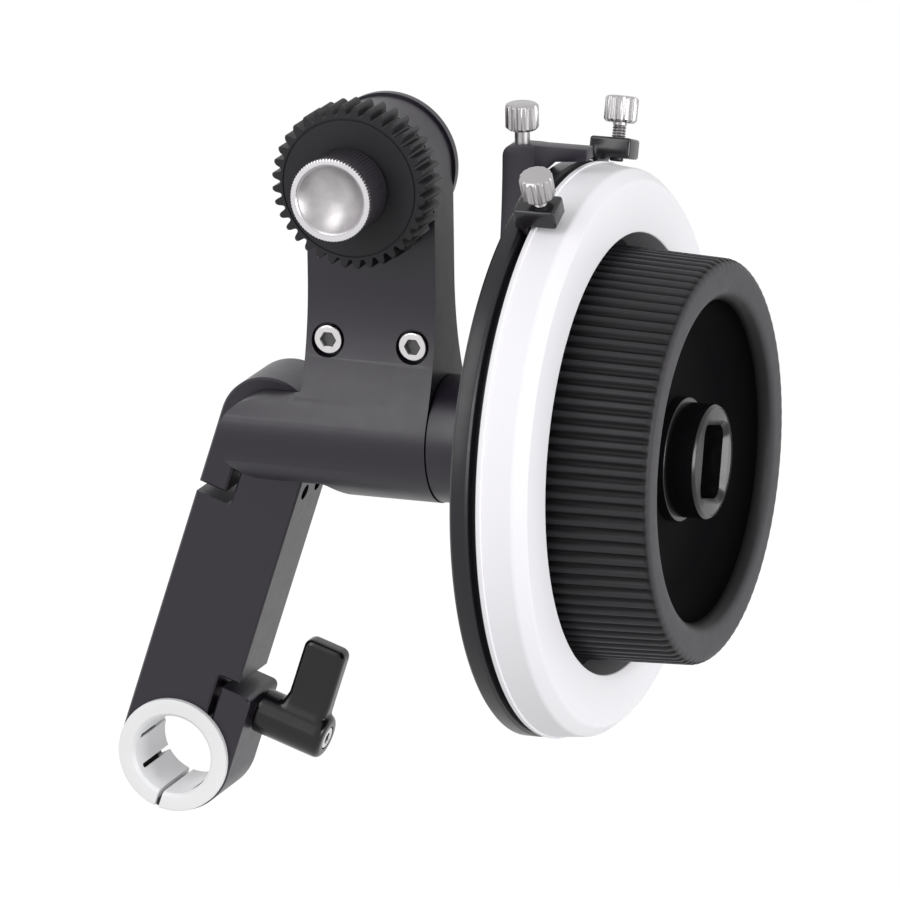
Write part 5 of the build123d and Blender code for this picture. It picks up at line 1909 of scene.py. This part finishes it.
@dataclass
class LensGear:
    """The lens gear with the knurled nut and bright insert that hold it."""

    head: DriveHead
    teeth: int = 36
    root: float = 13.4
    pitch: float = 14.4
    tip: float = 15.2
    span: Flat = (-15.35, -7.35)
    edge: float = 0.5
    groove: Flat = (12.6, 12.95)
    groove_depth: float = 0.25
    groove_draft: float = 0.06
    chamfer_mark: Flat = (0.45, 0.4)
    bore: float = 2.5
    knob: Flat = (-24.15, -15.65)
    knob_radius: float = 7.75
    knob_socket: float = 5.0
    knob_front: Flat = (0.3, 0.35)
    knob_rear: tuple[float, ...] = (0.7, 0.35, 0.2, 0.4)
    knob_flutes: int = 80
    flute_depth: float = 0.3
    flute_share: float = 0.75
    insert_radius: float = 6.9
    insert_edge: float = 0.1
    insert_front: float = -24.75
    insert_length: float = 5.0
    rim_radius: float = 7.75
    rim_gap: float = 0.05
    rim_front: tuple[float, ...] = (0.16, 0.06, 0.05, 0.2)
    dish_radius: float = 6.55
    dish_depth: float = 3.1
    dish_lip: Flat = (0.15, 0.12)
    dish_steps: int = 24

    @property
    def place(self) -> Matrix:
        """Give the matrix that lifts the gear's frame to the gear axis."""
        return self.head.place @ Matrix.Translation((0, 0, self.head.gear_height))

    def _tooth(self, angle: float) -> float:
        """Give the gear's radius at an angle, with a rounded tooth tip."""
        phase = angle * self.teeth / FULL_TURN % 1.0
        away = abs(phase - 0.5) * 2
        tip, pitch, root = self.tip, self.pitch, self.root
        marks = [(0.0, tip), (0.16, tip - 0.02), (0.27, tip - 0.16), (0.38, pitch + 0.3), (0.5, pitch - 0.05),
                 (0.62, root + 0.42), (0.74, root + 0.12), (0.86, root), (1.0, root)]
        for (a, ra), (b, rb) in zip(marks, marks[1:]):
            if away <= b:
                return ra + (rb - ra) * (away - a) / (b - a)
        return root

    def build_gear(self) -> None:
        """Build the toothed gear with the circle turned in its face."""
        low, high = self.span
        inner, outer = self.groove
        depth, edge, draft = self.groove_depth, self.edge, self.groove_draft
        rise, share_left = self.chamfer_mark

        def eased_tooth(share: float) -> Callable[[float], float]:
            """Give the tooth's radius where the end chamfer has taken a share of its width."""
            return lambda angle: min(self._tooth(angle), self.tip - edge * share)

        points: Profile = [
            (low, self.bore), (low, inner), (low + depth, inner + draft), (low + depth, outer - draft),
            (low, outer), (low, eased_tooth(1.0)), (low + edge * rise, eased_tooth(share_left)),
            (low + edge, self._tooth), (high - edge, self._tooth),
            (high - edge * rise, eased_tooth(share_left)), (high, eased_tooth(1.0)), (high, self.bore)]
        sector = turned("gear", points, 18, Axis.Y, closed=True, sector=FULL_TURN / self.teeth)
        gear = RoundPattern(self.teeth, Axis.Y).repeat(sector, GEAR_PLASTIC)
        settle(gear, Role("lens_gear_wheel", "gear_output", "black_gear_plastic", "lens_gear"),
               GEAR_PLASTIC, self.place)

    def _fluted(self, angle: float) -> float:
        """Give the nut's radius at an angle."""
        away = abs(angle * self.knob_flutes / FULL_TURN % 1.0 - 0.5) * 2
        groove = math.cos(min(1.0, away / self.flute_share) * QUARTER_TURN)
        return self.knob_radius - self.flute_depth * max(0.0, groove)

    def _shaved(self, width: float) -> Callable[[float], float]:
        """Give the nut's radius at each angle where a cut leaves no more than a width."""
        return lambda angle: min(width, self._fluted(angle))

    def build_knob(self) -> None:
        """Build the knurled nut and its dished insert."""
        low, high = self.knob
        bore, edge, radius = self.insert_radius, self.insert_edge, self.knob_radius
        rise, back = self.knob_front
        first, second, cut, lip = self.knob_rear
        deep = low + self.knob_socket
        points: Profile = [
            (deep, 0.0), (deep, bore), (low + edge, bore), (low, bore + edge), (low, radius - back),
            (low + rise, self._fluted), (high - first, self._fluted),
            (high - second, self._shaved(radius - cut)), (high, radius - lip), (high, 0.0)]
        sector = turned("knob", points, 8, Axis.Y, sector=FULL_TURN / self.knob_flutes)
        knob = RoundPattern(self.knob_flutes, Axis.Y).repeat(sector, KNURLED)
        settle(knob, Role("gear_knob_sleeve", "gear_knob", "black_anodised", "knob_sleeve"),
               KNURLED, self.place)
        self.build_insert()

    def build_insert(self) -> None:
        """Build the polished insert with its spherical dish."""
        dish = self.dish_radius
        ball = (dish ** 2 + self.dish_depth ** 2) / (2 * self.dish_depth)
        front, (drop, back) = self.insert_front, self.dish_lip
        floor, end = front + self.dish_depth, front + self.insert_length
        bends = [math.asin(dish / ball) * k / self.dish_steps for k in range(self.dish_steps)]
        points: Profile = [
            (floor - ball + ball * math.cos(bend), ball * math.sin(bend)) for bend in bends]
        points += [(front + drop, dish), (end, dish), (end, 0.0)]
        cup = turned("cup", points, 144, Axis.Y)
        across = (self.place.translation.x, self.place.translation.z)
        # The cup's strong mottle is random tone that also stands in for the blotchy reflections in the
        # polished dish, so it is partly painted reflection.
        polished = TurnedFinish("polished_cup", (0.43, 0.415, 0.425), 0.42, metallic=1.0, mottle=0.42,
                                mottle_size=4.5, rough_spread=0.08, rough_size=3.0,
                                grain_height=0.0015, grain_strength=0.25, centre=across)
        settle(cup, Role("knob_insert_cup", "gear_knob", "plain_aluminium", "knob_insert"),
               polished, self.place)
        base, rim = self.knob[0] + self.rim_gap, self.rim_radius
        chamfer, second, cut, third = self.rim_front
        points = [(front + drop, dish), (front, dish + back), (front, rim - chamfer),
                  (front + second, self._shaved(rim - cut)), (front + third, self._shaved(rim)),
                  (base, self._fluted), (base, self.insert_radius), (end, self.insert_radius), (end, dish)]
        edge = turned("edge", points, 6, Axis.Y, closed=True, sector=FULL_TURN / self.knob_flutes)
        faced = TurnedFinish("turned_rim", (0.64, 0.625, 0.645), 0.3, metallic=1.0, mottle=0.08,
                             mottle_size=3.0, rough_spread=0.05, grain_height=0.001, grain_strength=0.2,
                             centre=across)
        edge = RoundPattern(self.knob_flutes, Axis.Y).repeat(edge, faced)
        settle(edge, Role("knob_insert_rim", "gear_knob", "plain_aluminium"), faced, self.place)

    def build(self) -> None:
        """Build the gear and its nut."""
        self.build_gear()
        self.build_knob()


@dataclass(frozen=True)
class InnerWorks:
    """The pieces inside, which stay as they are and only get their finishes."""

    finishes: tuple[tuple[Finish, tuple[str, ...]], ...] = (
        (PLAIN_STEEL, ("shaft_bearings", "wheel_shaft", "cross_shaft", "gear_spindle", "wheel_bevel_gear",
                       "cross_bevel_gear")),
        (STAINLESS, ("disc_magnets", "ring_magnets")),
        (ALUMINIUM, ("lower_pulley", "upper_pulley")),
        (BRONZE, ("spindle_bushes", "cross_bushes")),
        (BELT_RUBBER, ("timing_belt",)),
    )

    def dress(self) -> None:
        """Give each inner piece its finish."""
        for finish, nodes in self.finishes:
            for node in nodes:
                dress_node(node, finish)


@dataclass(frozen=True)
class Lamp:
    """A soft lamp that looks at the object's middle, in metres and watts."""

    name: str
    place: Point
    width: float
    height: float
    power: float

    def build(self, middle: Vector) -> None:
        """Hang the lamp.

        Args:
            middle: the object's middle.
        """
        data = bpy.data.lights.new(self.name, "AREA")
        data.shape = "RECTANGLE"
        data.size, data.size_y = self.width, self.height
        data.energy = self.power
        lamp = linked(self.name, data)
        lamp.location = middle + Vector(self.place)
        lamp.rotation_mode = "QUATERNION"
        lamp.rotation_quaternion = (-Vector(self.place)).to_track_quat("-Z", "Y")


@dataclass
class Studio:
    """The pale floor, the soft light and the camera, in metres."""

    camera_place: Point = (0.80345, -1.9344, 0.6489)
    right: Point = (0.9336, 0.3582, -0.0132)
    down: Point = (0.0858, -0.2589, -0.9621)
    lens: float = 470.8
    sensor: float = 36.0
    clip: Flat = (0.1, 20.0)
    floor_drop: float = 0.06
    floor_size: float = 6.0
    floor_tone: float = 0.16
    floor_seen: float = 0.9
    floor_glow: float = 0.46
    ambient: float = 0.5
    background: float = 1.0
    lamps: tuple[Lamp, ...] = (
        Lamp("key", (-0.63, -1.2, 0.9), 0.8, 1.45, 12.6),
        Lamp("right", (1.6, -0.35, 0.15), 0.8, 0.8, 18.5),
    )

    @staticmethod
    def _blend(wiring: Wiring, plain: Socket, seen: Socket) -> Socket:
        """Blend two shaders, so that the camera, a mirror and glass get their own.

        Args:
            wiring: the tree's nodes and links.
            plain: the shader for all other rays.
            seen: the shader for the camera's, the glossy and the transmitted rays.

        Returns:
            The blended shader.
        """
        path = wiring.add("ShaderNodeLightPath").outputs
        either = wiring.worked_out("MAXIMUM", path["Is Camera Ray"], path["Is Glossy Ray"])
        share = wiring.worked_out("MAXIMUM", either, path["Is Transmission Ray"])
        return wiring.add("ShaderNodeMixShader", {0: share, 1: plain, 2: seen}).outputs[0]

    def build_world(self) -> None:
        """Light the scene evenly from all round, on a white background."""
        world = bpy.data.worlds.new("white_surround")
        bpy.context.scene.world = world
        world.use_nodes = True
        world.node_tree.nodes.clear()
        wiring = Wiring(world.node_tree)
        plain, seen = [wiring.add("ShaderNodeBackground", {"Color": WHITE, "Strength": strength}).outputs[0]
                       for strength in (self.ambient, self.background)]
        wiring.add("ShaderNodeOutputWorld", {"Surface": self._blend(wiring, plain, seen)})

    def build_floor(self) -> None:
        """Lay the pale floor under the object."""
        level = CAD_BOX[0].z - self.floor_drop
        half = self.floor_size / 2
        mesh = bpy.data.meshes.new("floor")
        corners = [(-half, -half, level), (half, -half, level), (half, half, level), (-half, half, level)]
        mesh.from_pydata(corners, [], [(0, 1, 2, 3)])
        paint = bpy.data.materials.new("white_floor")
        paint.use_nodes = True
        paint.node_tree.nodes.clear()
        wiring = Wiring(paint.node_tree)
        plain, seen = [wiring.add("ShaderNodeEmission", {"Strength": strength}).outputs[0]
                       for strength in (self.floor_glow, self.floor_seen)]
        matt = wiring.add("ShaderNodeBsdfDiffuse", {"Color": (*[self.floor_tone] * 3, 1.0)})
        both = wiring.add("ShaderNodeAddShader", {0: matt.outputs[0], 1: self._blend(wiring, plain, seen)})
        wiring.add("ShaderNodeOutputMaterial", {"Surface": both.outputs[0]})
        mesh.materials.append(paint)
        linked("floor", mesh)

    def build_camera(self) -> None:
        """Set the camera where the photographer stood."""
        data = bpy.data.cameras.new("camera")
        data.sensor_width = self.sensor
        data.lens = self.lens
        data.clip_start, data.clip_end = self.clip
        right, up = Vector(self.right).normalized(), -Vector(self.down).normalized()
        back = right.cross(up).normalized()
        turn = Matrix((right, back.cross(right), back)).transposed().to_4x4()
        camera = linked("camera", data)
        camera.matrix_world = Matrix.Translation(self.camera_place) @ turn
        bpy.context.scene.camera = camera

    def build(self) -> None:
        """Build the studio."""
        bpy.context.scene.view_settings.view_transform = "Standard"
        self.build_world()
        self.build_floor()
        for lamp in self.lamps:
            lamp.build((CAD_BOX[0] + CAD_BOX[1]) / 2)
        self.build_camera()


def main() -> None:
    """Build and dress the follow focus, piece by piece."""
    logging.basicConfig(level=logging.INFO, format="%(message)s")
    arm = SwingArm()
    head = DriveHead()
    for assembly in (arm, ClampLever(arm), head, IndexBracket(head), FocusWheel(head),
                     HardStop(head, "near_stop", "near_hard_stop", "near_thumb_screw", -24.0),
                     HardStop(head, "far_stop", "far_hard_stop", "far_thumb_screw", 17.5, 2.8),
                     LensGear(head)):
        log.info("%s", type(assembly).__name__)
        assembly.build()
    InnerWorks().dress()
    Studio().build()


if __name__ == "__main__":
    main()
